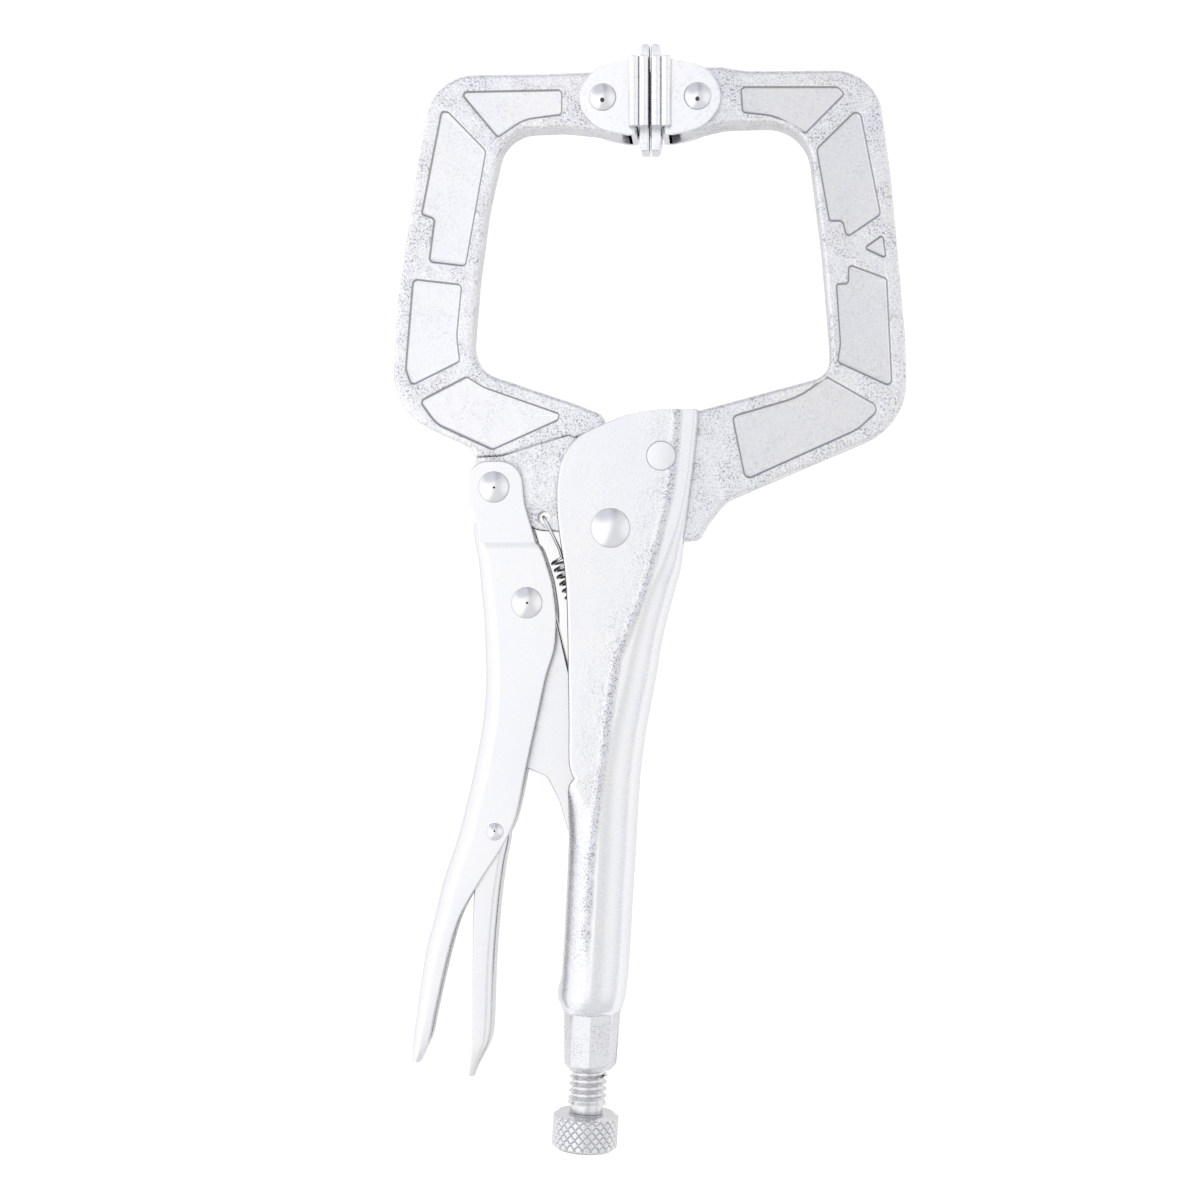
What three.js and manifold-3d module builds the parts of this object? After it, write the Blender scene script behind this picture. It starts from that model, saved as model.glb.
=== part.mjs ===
// Locking C-clamp pliers, closed, lying flat with the jaws towards +Y.
// Millimetres, +Z up. Shapes are laid out around the main pivot and the tool's
// mid-plane, and the whole group is moved at the end so that the origin is the
// centre of the bottom of its box.
import * as THREE from 'three';
import { mergeVertices } from 'three/addons/utils/BufferGeometryUtils.js';
import Module from 'manifold-3d';

const wasm = await Module();
wasm.setup();

// Running clearance between separate pieces.
const GAP = 0.3;

// Pivot centres in the plane of the tool.
const MAIN_PIVOT = [0, 0];
const LEVER_PIVOT = [-29.2, 10.3];
const LINK_PIVOT = [-20.9, -18.6];
const RELEASE_PIVOT = [-28.9, -75.7];
const JAW_RIVET = [12.6, 17.9];
const MOVABLE_PAD_PIVOT = [-2, 107.2];
const FIXED_PAD_PIVOT = [21.6, 107.2];

// Thicknesses. HALF values are measured from the mid-plane.
const JAW_HALF = 5;
const JAW_EDGE_ROUND = 1.1;
const POCKET_DEPTH = 0.6;
const LOBE_HALF = 4.2;
const HANDLE_SHEET = 2.4;
const CHEEK_HALF = JAW_HALF + GAP + HANDLE_SHEET;
const LEVER_SHEET = 2;
const EAR_HALF = LOBE_HALF + GAP + LEVER_SHEET;
const LEVER_HALF = 6.9;
const LINK_HALF = 2.5;
const RELEASE_SHEET = 1.2;
const RELEASE_HALF = 4.4;
const PAD_SHEET = 1.6;
const PAD_EAR_HALF = JAW_HALF + GAP + PAD_SHEET;
const PAD_PLATE_HALF = 9.3;

// Rivets: [shaft radius, head radius, head height].
const MAIN_RIVET = [3.9, 4.9, 1.4];
const LEVER_RIVET = [3, 3.9, 1.4];
const PAD_RIVET = [2.6, 3.4, 1.3];
const RELEASE_RIVET = [1.5, 2.15, 0.9];
const JAW_RIVET_RADIUS = 3.7;
const JAW_RIVET_PROUD = 0.2;

// Adjusting screw. Its axis leans a little from the handle's length.
const SCREW_LEAN = THREE.MathUtils.degToRad(3.26);
const SCREW_TOP = [-3.1, -87.4];
const SCREW_RADIUS = 4.8;
const SCREW_BORE = SCREW_RADIUS + GAP;
const THREAD_LENGTH = 57.2;
const SHOULDER_RADIUS = 4.05;
const SHOULDER_LENGTH = 2.0;
const SPIGOT_RADIUS = 2.4;
const SPIGOT_LENGTH = 5;
const KNOB_RADIUS = 8.2;
const KNOB_LENGTH = 9.2;
const KNOB_CHAMFER = 0.8;

// Return spring.
const SPRING_HOLE = [-16.9, 2.8];
const SPRING_HOLE_RADIUS = 1.6;
const SPRING_TOP = new THREE.Vector3(-12.4, -7.3, 0);
const SPRING_END = new THREE.Vector3(-1.6, -35.1, 0);
const SPRING_ANCHOR = [-1.2, -40.4];
const COIL_RADIUS = 2.95;
const WIRE_RADIUS = 0.55;
const COIL_PITCH = 1.85;

// Slot in the handle that the link swings through, and the lug that anchors the spring.
const LINK_SLOT_HALF = LINK_HALF + 1.2;
const SLOT_END = -113;
const LUG_HALF = 0.9;

const ARC_STEP = THREE.MathUtils.degToRad(24);
const ROUND_SEGMENTS = 20;

const PLATED = { color: 0xd9dade, metalness: 0.9, roughness: 0.42 };
const finishes = {
  forged: new THREE.MeshStandardMaterial({ ...PLATED, name: 'forged_plated_steel' }),
  stamped: new THREE.MeshStandardMaterial({ ...PLATED, roughness: 0.36, name: 'stamped_plated_steel' }),
  rivet: new THREE.MeshStandardMaterial({ ...PLATED, roughness: 0.16, name: 'polished_rivet_steel' }),
  screw: new THREE.MeshStandardMaterial({ ...PLATED, color: 0xbdbdbf, name: 'screw_steel' }),
  spring: new THREE.MeshStandardMaterial({ ...PLATED, color: 0x8c9098, name: 'spring_wire' }),
};

// ---------------------------------------------------------------- solids

function toManifold(geometry) {
  const bare = new THREE.BufferGeometry();
  bare.setAttribute('position', geometry.getAttribute('position'));
  bare.setIndex(geometry.getIndex());
  const merged = mergeVertices(bare, 1e-4);
  return new wasm.Manifold(new wasm.Mesh({
    numProp: 3,
    vertProperties: new Float32Array(merged.getAttribute('position').array),
    triVerts: new Uint32Array(merged.getIndex().array),
  }));
}

function toGeometry(solid) {
  const mesh = solid.getMesh();
  const geometry = new THREE.BufferGeometry();
  geometry.setAttribute('position', new THREE.BufferAttribute(mesh.vertProperties, 3));
  geometry.setIndex(new THREE.BufferAttribute(mesh.triVerts, 1));
  return geometry;
}

// Points of a closed outline whose corners are [x, y, radius].
function roundedPoints(corners) {
  const points = [];
  corners.forEach(([x, y, radius = 0], i) => {
    const corner = new THREE.Vector2(x, y);
    const back = new THREE.Vector2(...corners.at(i - 1).slice(0, 2)).sub(corner);
    const ahead = new THREE.Vector2(...corners[(i + 1) % corners.length].slice(0, 2)).sub(corner);
    const halfAngle = back.angleTo(ahead) / 2;
    const longest = 0.49 * Math.min(back.length(), ahead.length());
    const reach = Math.min(radius / Math.tan(halfAngle), longest);
    if (reach < 0.05) {
      points.push(corner);
      return;
    }
    back.normalize();
    ahead.normalize();
    const middle = back.clone().add(ahead).normalize();
    const centre = middle.multiplyScalar(reach / Math.cos(halfAngle)).add(corner);
    const start = corner.clone().addScaledVector(back, reach).sub(centre);
    const end = corner.clone().addScaledVector(ahead, reach).sub(centre);
    const sweep = Math.atan2(start.cross(end), start.dot(end));
    const steps = Math.max(1, Math.ceil(Math.abs(sweep) / ARC_STEP));
    for (let k = 0; k <= steps; k += 1) {
      const turned = start.clone().rotateAround(new THREE.Vector2(), (sweep * k) / steps);
      points.push(turned.add(centre));
    }
  });
  return points;
}

// A flat plate of the outline from z = low to z = high.
function slab(corners, low, high) {
  const shape = new THREE.Shape(roundedPoints(corners));
  const geometry = new THREE.ExtrudeGeometry(shape, { depth: high - low, bevelEnabled: false });
  geometry.translate(0, 0, low);
  return toManifold(geometry);
}

// A plate centred on the mid-plane, with its edges rounded.
function roundedSlab(corners, half, round) {
  const shape = new THREE.Shape(roundedPoints(corners));
  const geometry = new THREE.ExtrudeGeometry(shape, {
    depth: 2 * (half - round),
    bevelThickness: round,
    bevelSize: round,
    bevelOffset: -round,
    bevelSegments: 2,
  });
  geometry.translate(0, 0, round - half);
  return toManifold(geometry);
}

function block(x0, x1, y0, y1, half) {
  const geometry = new THREE.BoxGeometry(x1 - x0, y1 - y0, 2 * half);
  geometry.translate((x0 + x1) / 2, (y0 + y1) / 2, 0);
  return toManifold(geometry);
}

// A straight round bar along Z at a point of the plane.
function bar([x, y], radius, low, high, segments = ROUND_SEGMENTS) {
  const geometry = new THREE.CylinderGeometry(radius, radius, high - low, segments);
  geometry.rotateX(Math.PI / 2);
  geometry.translate(x, y, (low + high) / 2);
  return toManifold(geometry);
}

function hole(point, radius) {
  return bar(point, radius, -20, 20);
}

// A closed body through rings that all have the same number of points.
function loft(rings) {
  const count = rings[0].length;
  const positions = rings.flat().flatMap((point) => [point.x, point.y, point.z]);
  const faces = [];
  for (let r = 0; r + 1 < rings.length; r += 1) {
    for (let i = 0; i < count; i += 1) {
      const a = r * count + i;
      const b = r * count + ((i + 1) % count);
      faces.push(a, b, a + count, b, b + count, a + count);
    }
  }
  const last = (rings.length - 1) * count;
  for (let i = 1; i + 1 < count; i += 1) {
    faces.push(0, i + 1, i, last, last + i, last + i + 1);
  }
  const geometry = new THREE.BufferGeometry();
  geometry.setAttribute('position', new THREE.Float32BufferAttribute(positions, 3));
  geometry.setIndex(faces);
  return toManifold(geometry);
}

// A level cross-section [y, left, right, half, left radius, right radius] as a
// ring of points round a rectangle with rounded corners.
function channelRing([y, left, right, half, leftRadius, rightRadius], steps) {
  const ring = [];
  const corners = [
    [right - rightRadius, half - rightRadius, rightRadius, 0],
    [left + leftRadius, half - leftRadius, leftRadius, 1],
    [left + leftRadius, leftRadius - half, leftRadius, 2],
    [right - rightRadius, rightRadius - half, rightRadius, 3],
  ];
  for (const [cx, cz, radius, quarter] of corners) {
    for (let k = 0; k <= steps; k += 1) {
      const angle = (quarter + k / steps) * (Math.PI / 2);
      ring.push(new THREE.Vector3(cx + radius * Math.cos(angle), y, cz + radius * Math.sin(angle)));
    }
  }
  return ring;
}

// A closed channel body; its stations run from the top down.
function channel(stations, steps) {
  return loft(stations.map((station) => channelRing(station, steps)));
}

// The hollow of a channel, one sheet thickness inside it.
function channelHollow(stations, sheet, steps) {
  const inner = stations.map(([y, left, right, half, leftRadius, rightRadius]) => [
    y,
    left + sheet,
    right - sheet,
    half - sheet,
    Math.max(leftRadius - sheet, 0.3),
    Math.max(rightRadius - sheet, 0.3),
  ]);
  return channel(inner, steps);
}

// A domed rivet along Z whose heads rest on faces at z = -grip and z = grip.
function rivet([x, y], [shaft, head, height], grip) {
  const seat = grip + GAP;
  const upper = [[shaft, seat], [head, seat], [head, seat + 0.25 * height]];
  const arcs = 3;
  for (let k = 1; k < arcs; k += 1) {
    const angle = (k / arcs) * (Math.PI / 2);
    const rise = 0.25 * height + 0.75 * height * Math.sin(angle);
    upper.push([head * Math.cos(angle), seat + rise]);
  }
  upper.push([0, seat + height]);
  const lower = upper.map(([r, z]) => [r, -z]).reverse();
  const profile = [...lower, ...upper].map(([r, z]) => new THREE.Vector2(r, z));
  const geometry = new THREE.LatheGeometry(profile, ROUND_SEGMENTS);
  geometry.rotateX(Math.PI / 2);
  geometry.translate(x, y, 0);
  return geometry;
}

// ---------------------------------------------------------------- jaws

function jaw(corners, pockets) {
  let solid = roundedSlab(corners, JAW_HALF, JAW_EDGE_ROUND);
  for (const pocket of pockets) {
    solid = solid.subtract(slab(pocket, JAW_HALF - POCKET_DEPTH, JAW_HALF + 1));
    solid = solid.subtract(slab(pocket, -JAW_HALF - 1, POCKET_DEPTH - JAW_HALF));
  }
  return solid;
}

function movableJaw() {
  const arm = [
    [3.6, 115, 5], [-6, 114.2, 6], [-16.6, 113.8, 20], [-44.9, 113.8, 12.5], [-50.6, 78.7, 60],
    [-54.2, 54, 60], [-55, 29.5, 15], [-35.3, 20.2, 3], [-34, 15, 2], [-35.2, 4.4, 5.8],
    [-24, 3.4, 3], [-19, -0.5, 4], [-7, -1.2, 3], [7.4, 1.6, 2], [-0.4, 25, 1.8],
    [-2.4, 28.6, 1.8], [-8.2, 31, 8], [-35.4, 40.2, 9], [-33.4, 62.9, 60], [-31, 80.9, 40],
    [-26.6, 99.8, 10], [-12.3, 100.3, 10], [-5.8, 99.6, 8], [-0.5, 98.9, 4], [3.4, 98.2, 3],
  ];
  const pockets = [
    [[-38.2, 109.5, 1], [-12.2, 109.7, 1.2], [-12.2, 103.3, 1], [-21.8, 102.2, 10], [-28.4, 97.7, 1]],
    [
      [-42.6, 104.8, 1.3], [-40.7, 104.4, 1], [-31.2, 94.6, 2], [-36.4, 65.6, 1.2],
      [-45.8, 66.8, 1.2], [-44.4, 77.6, 1], [-47.7, 78.7, 1],
    ],
    [
      [-49.8, 62.7, 1.3], [-37.3, 61.2, 1.2], [-38.6, 48.2, 12], [-37.8, 41.8, 1.2],
      [-50.2, 35.7, 1.2], [-51.7, 40, 4],
    ],
    [
      [-36.2, 38.2, 1.2], [-31.9, 35.5, 10], [-12.7, 28.7, 0.8], [-13.2, 27, 0.8],
      [-29.7, 19.6, 1.4], [-43.9, 26.1, 8], [-48.2, 32, 1.2],
    ],
  ];
  const recess = [
    [-40, 17.5], [-34, 18, 2], [-26.9, 18.2, 3], [-18.1, 20.9, 12], [-10.6, 23.1, 1], [-8.8, 22.4, 1],
    [12, 20], [12, -12], [-40, -12],
  ];
  let solid = jaw(arm, pockets).add(bar(MAIN_PIVOT, 8, -JAW_HALF, JAW_HALF));
  solid = solid.subtract(slab(recess, LOBE_HALF, JAW_HALF + 1));
  solid = solid.subtract(slab(recess, -JAW_HALF - 1, -LOBE_HALF));
  for (const [point, radius] of [
    [MAIN_PIVOT, MAIN_RIVET[0] + GAP],
    [LEVER_PIVOT, LEVER_RIVET[0] + GAP],
    [MOVABLE_PAD_PIVOT, PAD_RIVET[0] + GAP],
    [SPRING_HOLE, SPRING_HOLE_RADIUS],
  ]) {
    solid = solid.subtract(hole(point, radius));
  }
  return toGeometry(solid);
}

function fixedJaw() {
  const arm = [
    [16.4, 115, 5], [26.9, 115.1, 6], [34.2, 114, 8], [65.9, 113.9, 12], [69.6, 87.9, 60],
    [73.2, 47.5, 40], [73.8, 25.8, 20], [28.7, 6.7, 8], [24.4, 1.2, 5], [22, -2.9, 2],
    [9.6, -4, 1.6], [9, 3.4, 2], [2.3, 26.4, 1.6], [9.3, 28.3, 6], [22.3, 29.4, 4],
    [54.9, 38.1, 11.5], [54.5, 47.5, 40], [52.6, 69.8, 60], [48.7, 101, 14], [28.4, 100.6, 8],
    [20.9, 98.8, 4], [16.6, 98.2, 3],
  ];
  const pockets = [
    [
      [32.2, 109.9, 1.2], [56.4, 109.6, 1.5], [58.3, 107.8, 1], [48.3, 97.8, 1.2],
      [40.9, 102.4, 12], [32.7, 103.3, 1],
    ],
    [
      [61.8, 104.7, 1.5], [67.1, 77.7, 1.5], [58.5, 71.9, 1], [57.5, 76.1, 1],
      [54.2, 76.1, 1], [51, 94.2, 2],
    ],
    [[67.6, 72.9, 0.6], [68.5, 66.6, 0.6], [62.6, 69.4, 0.6]],
    [
      [58.9, 65.6, 1], [68.6, 61.9, 1.2], [69.9, 34.7, 1.2], [56.2, 41.1, 1.2],
      [56.9, 45.7, 8], [55.9, 60.7, 0.8], [58.9, 60.8, 0.8],
    ],
    [
      [30.1, 27.9, 1.5], [46.8, 32.7, 20], [53.6, 37.7, 1.4], [67.3, 29.8, 2],
      [61.3, 24.3, 10], [33.4, 11.8, 1.6],
    ],
  ];
  let solid = jaw(arm, pockets);
  solid = solid.subtract(hole(JAW_RIVET, JAW_RIVET_RADIUS + GAP));
  solid = solid.subtract(hole(FIXED_PAD_PIVOT, PAD_RIVET[0] + GAP));
  return toGeometry(solid);
}

// ---------------------------------------------------------------- handle and levers

function screwFrame(geometry) {
  geometry.rotateZ(-SCREW_LEAN);
  geometry.translate(SCREW_TOP[0], SCREW_TOP[1], 0);
  return geometry;
}

function fixedHandle() {
  const steps = 4;
  const edge = 0.6;
  const back = 1.6;
  const stations = [
    [31, -14, 22.2, CHEEK_HALF, edge, back],
    [16.1, -13.8, 20.8, CHEEK_HALF, edge, back],
    [2.4, -13.4, 19, CHEEK_HALF, edge, back],
    [-3.8, -12.4, 18.1, CHEEK_HALF, edge, 3.4],
    [-9.8, -11.6, 17.4, CHEEK_HALF, edge, 6],
    [-15.3, -11.1, 15.9, CHEEK_HALF, edge, 6.6],
    [-28.7, -10.7, 12.6, CHEEK_HALF + 0.1, edge, 7.3],
    [-36.7, -10.6, 11.3, 8.1, edge, 7.8],
    [-50.1, -10.4, 8.8, 8.6, edge, 8.4],
    [-57.9, -10.8, 7.7, 8.8, edge, 8.6],
    [-63.7, -11.3, 7.1, 8.9, 3, 8.7],
    [-70.2, -11.3, 6.7, 8.9, 6.5, 8.8],
    [-78.9, -11.6, 6.2, 8.9, 8.6, 8.7],
    [-93.3, -12.3, 5.3, 8.8, 8.6, 8.6],
    [-111.5, -13.3, 4.2, 8.7, 8.4, 8.5],
    [-117.2, -13.7, 3.5, 8.6, 8.2, 8.3],
    [-121.6, -12.1, 2.1, 7, 5, 5],
    [-134.5, -12, 1.1, 6.6, 5, 5],
    [-135.9, -10.8, -0.1, 5.6, 4.4, 4.4],
  ];
  const cheek = [
    [-8.6, 22.4, 6], [1.8, 27.6, 20], [12.2, 29.7, 8], [22, 29.5, 0.8], [20.6, 14, 30], [18.9, 0, 60],
    [30, -30], [30, -140], [-30, -140], [-30, -20], [-10.9, -20, 4], [-13.6, 7.4, 18], [-12.4, 18, 9],
  ];
  const hollowTop = -3.9;
  const hollowEnd = -118;
  const hollowStations = stations.filter(([y]) => y < hollowTop && y > hollowEnd);
  const [, left, right] = stations[3];
  hollowStations.unshift([hollowTop, left, right, CHEEK_HALF, edge, 3.4]);
  let solid = channel(stations, steps).intersect(slab(cheek, -12, 12));
  solid = solid.subtract(channelHollow(hollowStations, HANDLE_SHEET, steps));
  const jawSpace = block(-30, 40, -4, 40, JAW_HALF + GAP);
  const leverSpace = block(-30, -6, -61, 0, JAW_HALF + GAP);
  const linkSlot = block(-30, -6, SLOT_END, -60, LINK_SLOT_HALF);
  solid = solid.subtract(jawSpace).subtract(leverSpace).subtract(linkSlot);
  const lug = block(-2.6, 12, SPRING_ANCHOR[1] - 2, SPRING_ANCHOR[1] + 1.6, LUG_HALF);
  solid = solid.add(lug.intersect(channel(stations, steps)));
  solid = solid.subtract(hole(MAIN_PIVOT, MAIN_RIVET[0] + GAP));
  solid = solid.subtract(hole(JAW_RIVET, JAW_RIVET_RADIUS + GAP));
  solid = solid.subtract(bar(SPRING_ANCHOR, WIRE_RADIUS + 0.4, -2, 2, 12));
  const boreLength = 50;
  const boreMiddle = 45;
  const bore = new THREE.CylinderGeometry(SCREW_BORE, SCREW_BORE, boreLength, ROUND_SEGMENTS);
  bore.translate(0, -boreMiddle, 0);
  return toGeometry(solid.subtract(toManifold(screwFrame(bore))));
}

function operatingLever() {
  const steps = 3;
  const lip = 0.5;
  const web = 2.6;
  const stations = [
    [1.5, -34.7, -20.3, EAR_HALF, web, lip],
    [-2.2, -34.4, -19.3, EAR_HALF, web, lip],
    [-4.6, -33.9, -17.5, LEVER_HALF, 3, lip],
    [-14.6, -32.7, -14.5, LEVER_HALF, 3, lip],
    [-22.9, -31.9, -13.6, LEVER_HALF, 3, lip],
    [-28.2, -31.7, -13.8, LEVER_HALF, 3, lip],
    [-37.5, -31.5, -16.3, LEVER_HALF, 3, lip],
    [-45.8, -32, -18.1, LEVER_HALF, 3, lip],
    [-59.6, -34.3, -21.1, LEVER_HALF, 3, lip],
    [-72.7, -37.3, -23.9, LEVER_HALF, 3, lip],
    [-77.5, -38.6, -26, LEVER_HALF, 3, lip],
    [-89.1, -42.4, -33.3, LEVER_HALF, 3, lip],
    [-98, -44.5, -38.2, 6.7, 3, lip],
    [-105.8, -46.5, -40.6, 6.5, 2.8, lip],
    [-121.9, -48.9, -44.3, 6, 2.2, lip],
    [-130.5, -50.1, -46.4, 5.2, 1.6, lip],
    [-134.2, -50.3, -48.9, 3.4, 0.6, lip],
  ];
  const ear = [
    [-36, 17, 6.2], [-22.4, 17, 6.2], [-21.4, 6.2, 10], [-18.6, -5, 1], [-33, -5, 1], [-33.4, 1.6, 2],
    [-35.9, 6.4, 3],
  ];
  const open = stations.map(([y, left, right, half, leftRadius]) => [
    y, left, right + 30, half, leftRadius, lip,
  ]);
  let solid = channel(stations, steps);
  solid = solid.add(slab(ear, EAR_HALF - LEVER_SHEET, EAR_HALF));
  solid = solid.add(slab(ear, -EAR_HALF, LEVER_SHEET - EAR_HALF));
  solid = solid.subtract(channelHollow(open.slice(0, -2), LEVER_SHEET, steps));
  solid = solid.subtract(hole(LEVER_PIVOT, LEVER_RIVET[0] + GAP));
  solid = solid.subtract(hole(LINK_PIVOT, LEVER_RIVET[0] + GAP));
  solid = solid.subtract(hole(RELEASE_PIVOT, RELEASE_RIVET[0] + GAP));
  return toGeometry(solid);
}

function toggleLink() {
  const outline = [
    [-26.4, -13.1, 5.2], [-15.6, -13.3, 5.2], [-14.2, -21, 6], [-10.9, -35, 40], [-5.5, -60, 20],
    [0.9, -78.4, 3.4], [0.4, -83.8, 3.2], [-6, -84, 3.2], [-11, -75.5, 4], [-13.1, -68.2, 6],
    [-16.2, -62.2, 2.5], [-22, -59.9, 1.2], [-25.4, -40, 20],
  ];
  const solid = slab(outline, -LINK_HALF, LINK_HALF);
  return toGeometry(solid.subtract(hole(LINK_PIVOT, LEVER_RIVET[0] + GAP)));
}

function releaseLever() {
  const outline = [
    [-25.6, -64.6, 1.5], [-24.9, -76.4, 8], [-26.8, -84, 20], [-28.1, -94.4, 30], [-29.2, -109.9, 40],
    [-29.6, -125.6, 8], [-31.8, -131.8, 5], [-34.4, -137.6, 0.8], [-35.9, -137.3, 0.6],
    [-34.9, -130, 6], [-34.7, -99.6, 20], [-34.2, -86, 10], [-33.2, -78, 6], [-30, -65.6, 2],
  ];
  const hollow = outline.map(([x, y, radius]) => [x - RELEASE_SHEET, y, radius]);
  const inner = RELEASE_HALF - RELEASE_SHEET;
  let solid = slab(outline, -RELEASE_HALF, RELEASE_HALF);
  solid = solid.subtract(slab(hollow, -inner, inner));
  return toGeometry(solid.subtract(hole(RELEASE_PIVOT, RELEASE_RIVET[0] + GAP)));
}

// ---------------------------------------------------------------- screw, knob and spring

// A turned piece on the screw axis; its profile is [radius, distance below the screw's top].
function turned(profile) {
  const points = profile.map(([radius, distance]) => new THREE.Vector2(radius, -distance));
  return screwFrame(new THREE.LatheGeometry(points.reverse(), ROUND_SEGMENTS));
}

function adjustingScrew() {
  const shoulder = THREAD_LENGTH + SHOULDER_LENGTH;
  return turned([
    [0, 0], [2.2, 0], [SCREW_RADIUS, 1.6], [SCREW_RADIUS, THREAD_LENGTH],
    [SHOULDER_RADIUS, THREAD_LENGTH], [SHOULDER_RADIUS, shoulder],
    [SPIGOT_RADIUS, shoulder], [SPIGOT_RADIUS, shoulder + SPIGOT_LENGTH],
    [0, shoulder + SPIGOT_LENGTH],
  ]);
}

function adjustingKnob() {
  const near = THREAD_LENGTH + SHOULDER_LENGTH + GAP;
  const far = near + KNOB_LENGTH;
  const socket = SPIGOT_RADIUS + GAP;
  return turned([
    [0, near + SPIGOT_LENGTH], [socket, near + SPIGOT_LENGTH], [socket, near],
    [KNOB_RADIUS - KNOB_CHAMFER, near], [KNOB_RADIUS, near + KNOB_CHAMFER],
    [KNOB_RADIUS, far - KNOB_CHAMFER], [KNOB_RADIUS - KNOB_CHAMFER, far], [0, far],
  ]);
}

// A coil with a hook through the jaw and a hook through the lug in the handle.
function returnSpring() {
  const along = SPRING_END.clone().sub(SPRING_TOP);
  const length = along.length();
  along.normalize();
  const up = new THREE.Vector3(0, 0, 1);
  const side = new THREE.Vector3().crossVectors(along, up);
  const turns = Math.round(length / COIL_PITCH);
  const perTurn = 6;
  const points = [
    new THREE.Vector3(...SPRING_HOLE, -LOBE_HALF - 0.6),
    new THREE.Vector3(...SPRING_HOLE, 0),
    new THREE.Vector3(...SPRING_HOLE, LOBE_HALF),
    new THREE.Vector3(SPRING_HOLE[0] + 0.9, SPRING_HOLE[1] - 1.6, LOBE_HALF + 1.4),
    new THREE.Vector3(-13.2, -4.6, 3.8),
  ];
  for (let k = 0; k <= turns * perTurn; k += 1) {
    const angle = (k / perTurn) * 2 * Math.PI;
    const point = SPRING_TOP.clone().addScaledVector(along, (length * k) / (turns * perTurn));
    point.addScaledVector(side, COIL_RADIUS * Math.sin(angle));
    points.push(point.addScaledVector(up, COIL_RADIUS * Math.cos(angle)));
  }
  points.push(
    new THREE.Vector3(-2.2, -38.4, 2.2),
    new THREE.Vector3(...SPRING_ANCHOR, 1.2),
    new THREE.Vector3(...SPRING_ANCHOR, -1.6),
  );
  const wire = new THREE.CatmullRomCurve3(points);
  const section = new THREE.Shape();
  section.absarc(0, 0, WIRE_RADIUS, 0, 2 * Math.PI);
  return new THREE.ExtrudeGeometry(section, {
    extrudePath: wire,
    steps: points.length,
    curveSegments: 3,
    bevelEnabled: false,
  });
}

// ---------------------------------------------------------------- swivel pads

// Pad pieces are made round their rivet at the origin, facing +X.
const PAD_BASE = 6.9;
const PAD_FACE = 11.4;
const PAD_TALL = 8.7;
// The plate is rolled back over the bracket, and both it and its tongue sit a little off centre.
const PAD_WRAP = 6.6;
const PAD_ENDS = [-7.6, 9.8];
const TONGUE_ENDS = [-12.9, 13.8];
const TONGUE_HALF = 4.5;

function padBracket() {
  const ear = [
    [-6.1, -5.4, 5.2], [-2, -PAD_TALL, 5], [6, -PAD_TALL, 1],
    [6, PAD_TALL, 1], [-2, PAD_TALL, 5], [-6.1, 5.4, 5.2],
  ];
  const front = PAD_BASE + PAD_SHEET;
  const tall = PAD_TALL + 0.6;
  const base = [[5, tall, 1], [front, tall, 0.8], [front, -tall, 0.8], [5, -tall, 1]];
  let solid = slab(ear, -PAD_EAR_HALF, PAD_EAR_HALF).add(slab(base, -PAD_EAR_HALF, PAD_EAR_HALF));
  solid = solid.subtract(block(-20, PAD_BASE, -20, 20, JAW_HALF + GAP));
  solid = solid.subtract(hole([0, 0], PAD_RIVET[0] + GAP));
  return toGeometry(solid);
}

function padPlate() {
  const low = PAD_BASE + PAD_SHEET + GAP;
  const outline = (back, [bottom, top], backRound, frontRound) => [
    [back, bottom, backRound], [PAD_FACE, bottom, frontRound],
    [PAD_FACE, top, frontRound], [back, top, backRound],
  ];
  const face = slab(outline(PAD_WRAP, PAD_ENDS, 0.4, 1.1), -PAD_PLATE_HALF, PAD_PLATE_HALF);
  const bracketSpace = block(0, low, -20, 20, PAD_EAR_HALF + GAP);
  const tongue = slab(outline(low, TONGUE_ENDS, 0.6, 0.9), -TONGUE_HALF, TONGUE_HALF);
  return toGeometry(face.subtract(bracketSpace).add(tongue));
}

// ---------------------------------------------------------------- assembly

const tool = new THREE.Group();

function place(name, geometry, material, parent = tool) {
  const mesh = new THREE.Mesh(geometry, material);
  mesh.name = name;
  parent.add(mesh);
  return mesh;
}

function swivelPad(prefix, [x, y], turn) {
  const pad = new THREE.Group();
  pad.position.set(x, y, 0);
  pad.rotation.y = turn;
  place(`${prefix}_pad_bracket`, padBracket(), finishes.stamped, pad);
  place(`${prefix}_pad_plate`, padPlate(), finishes.stamped, pad);
  place(`${prefix}_pad_rivet`, rivet([0, 0], PAD_RIVET, PAD_EAR_HALF), finishes.rivet, pad);
  tool.add(pad);
}

place('fixed_handle', fixedHandle(), finishes.stamped);
place('fixed_jaw', fixedJaw(), finishes.forged);
const flushHalf = CHEEK_HALF + JAW_RIVET_PROUD;
const flushRivet = bar(JAW_RIVET, JAW_RIVET_RADIUS, -flushHalf, flushHalf);
place('fixed_jaw_rivet', toGeometry(flushRivet), finishes.forged);
place('main_pivot_rivet', rivet(MAIN_PIVOT, MAIN_RIVET, CHEEK_HALF), finishes.rivet);
place('movable_jaw', movableJaw(), finishes.forged);
place('lever_pivot_rivet', rivet(LEVER_PIVOT, LEVER_RIVET, EAR_HALF), finishes.rivet);
place('operating_lever', operatingLever(), finishes.stamped);
place('link_rivet', rivet(LINK_PIVOT, LEVER_RIVET, LEVER_HALF), finishes.rivet);
place('toggle_link', toggleLink(), finishes.stamped);
place('release_lever', releaseLever(), finishes.stamped);
place('release_rivet', rivet(RELEASE_PIVOT, RELEASE_RIVET, LEVER_HALF), finishes.rivet);
place('return_spring', returnSpring(), finishes.spring);
place('adjusting_screw', adjustingScrew(), finishes.screw);
place('adjusting_knob', adjustingKnob(), finishes.screw);
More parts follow.
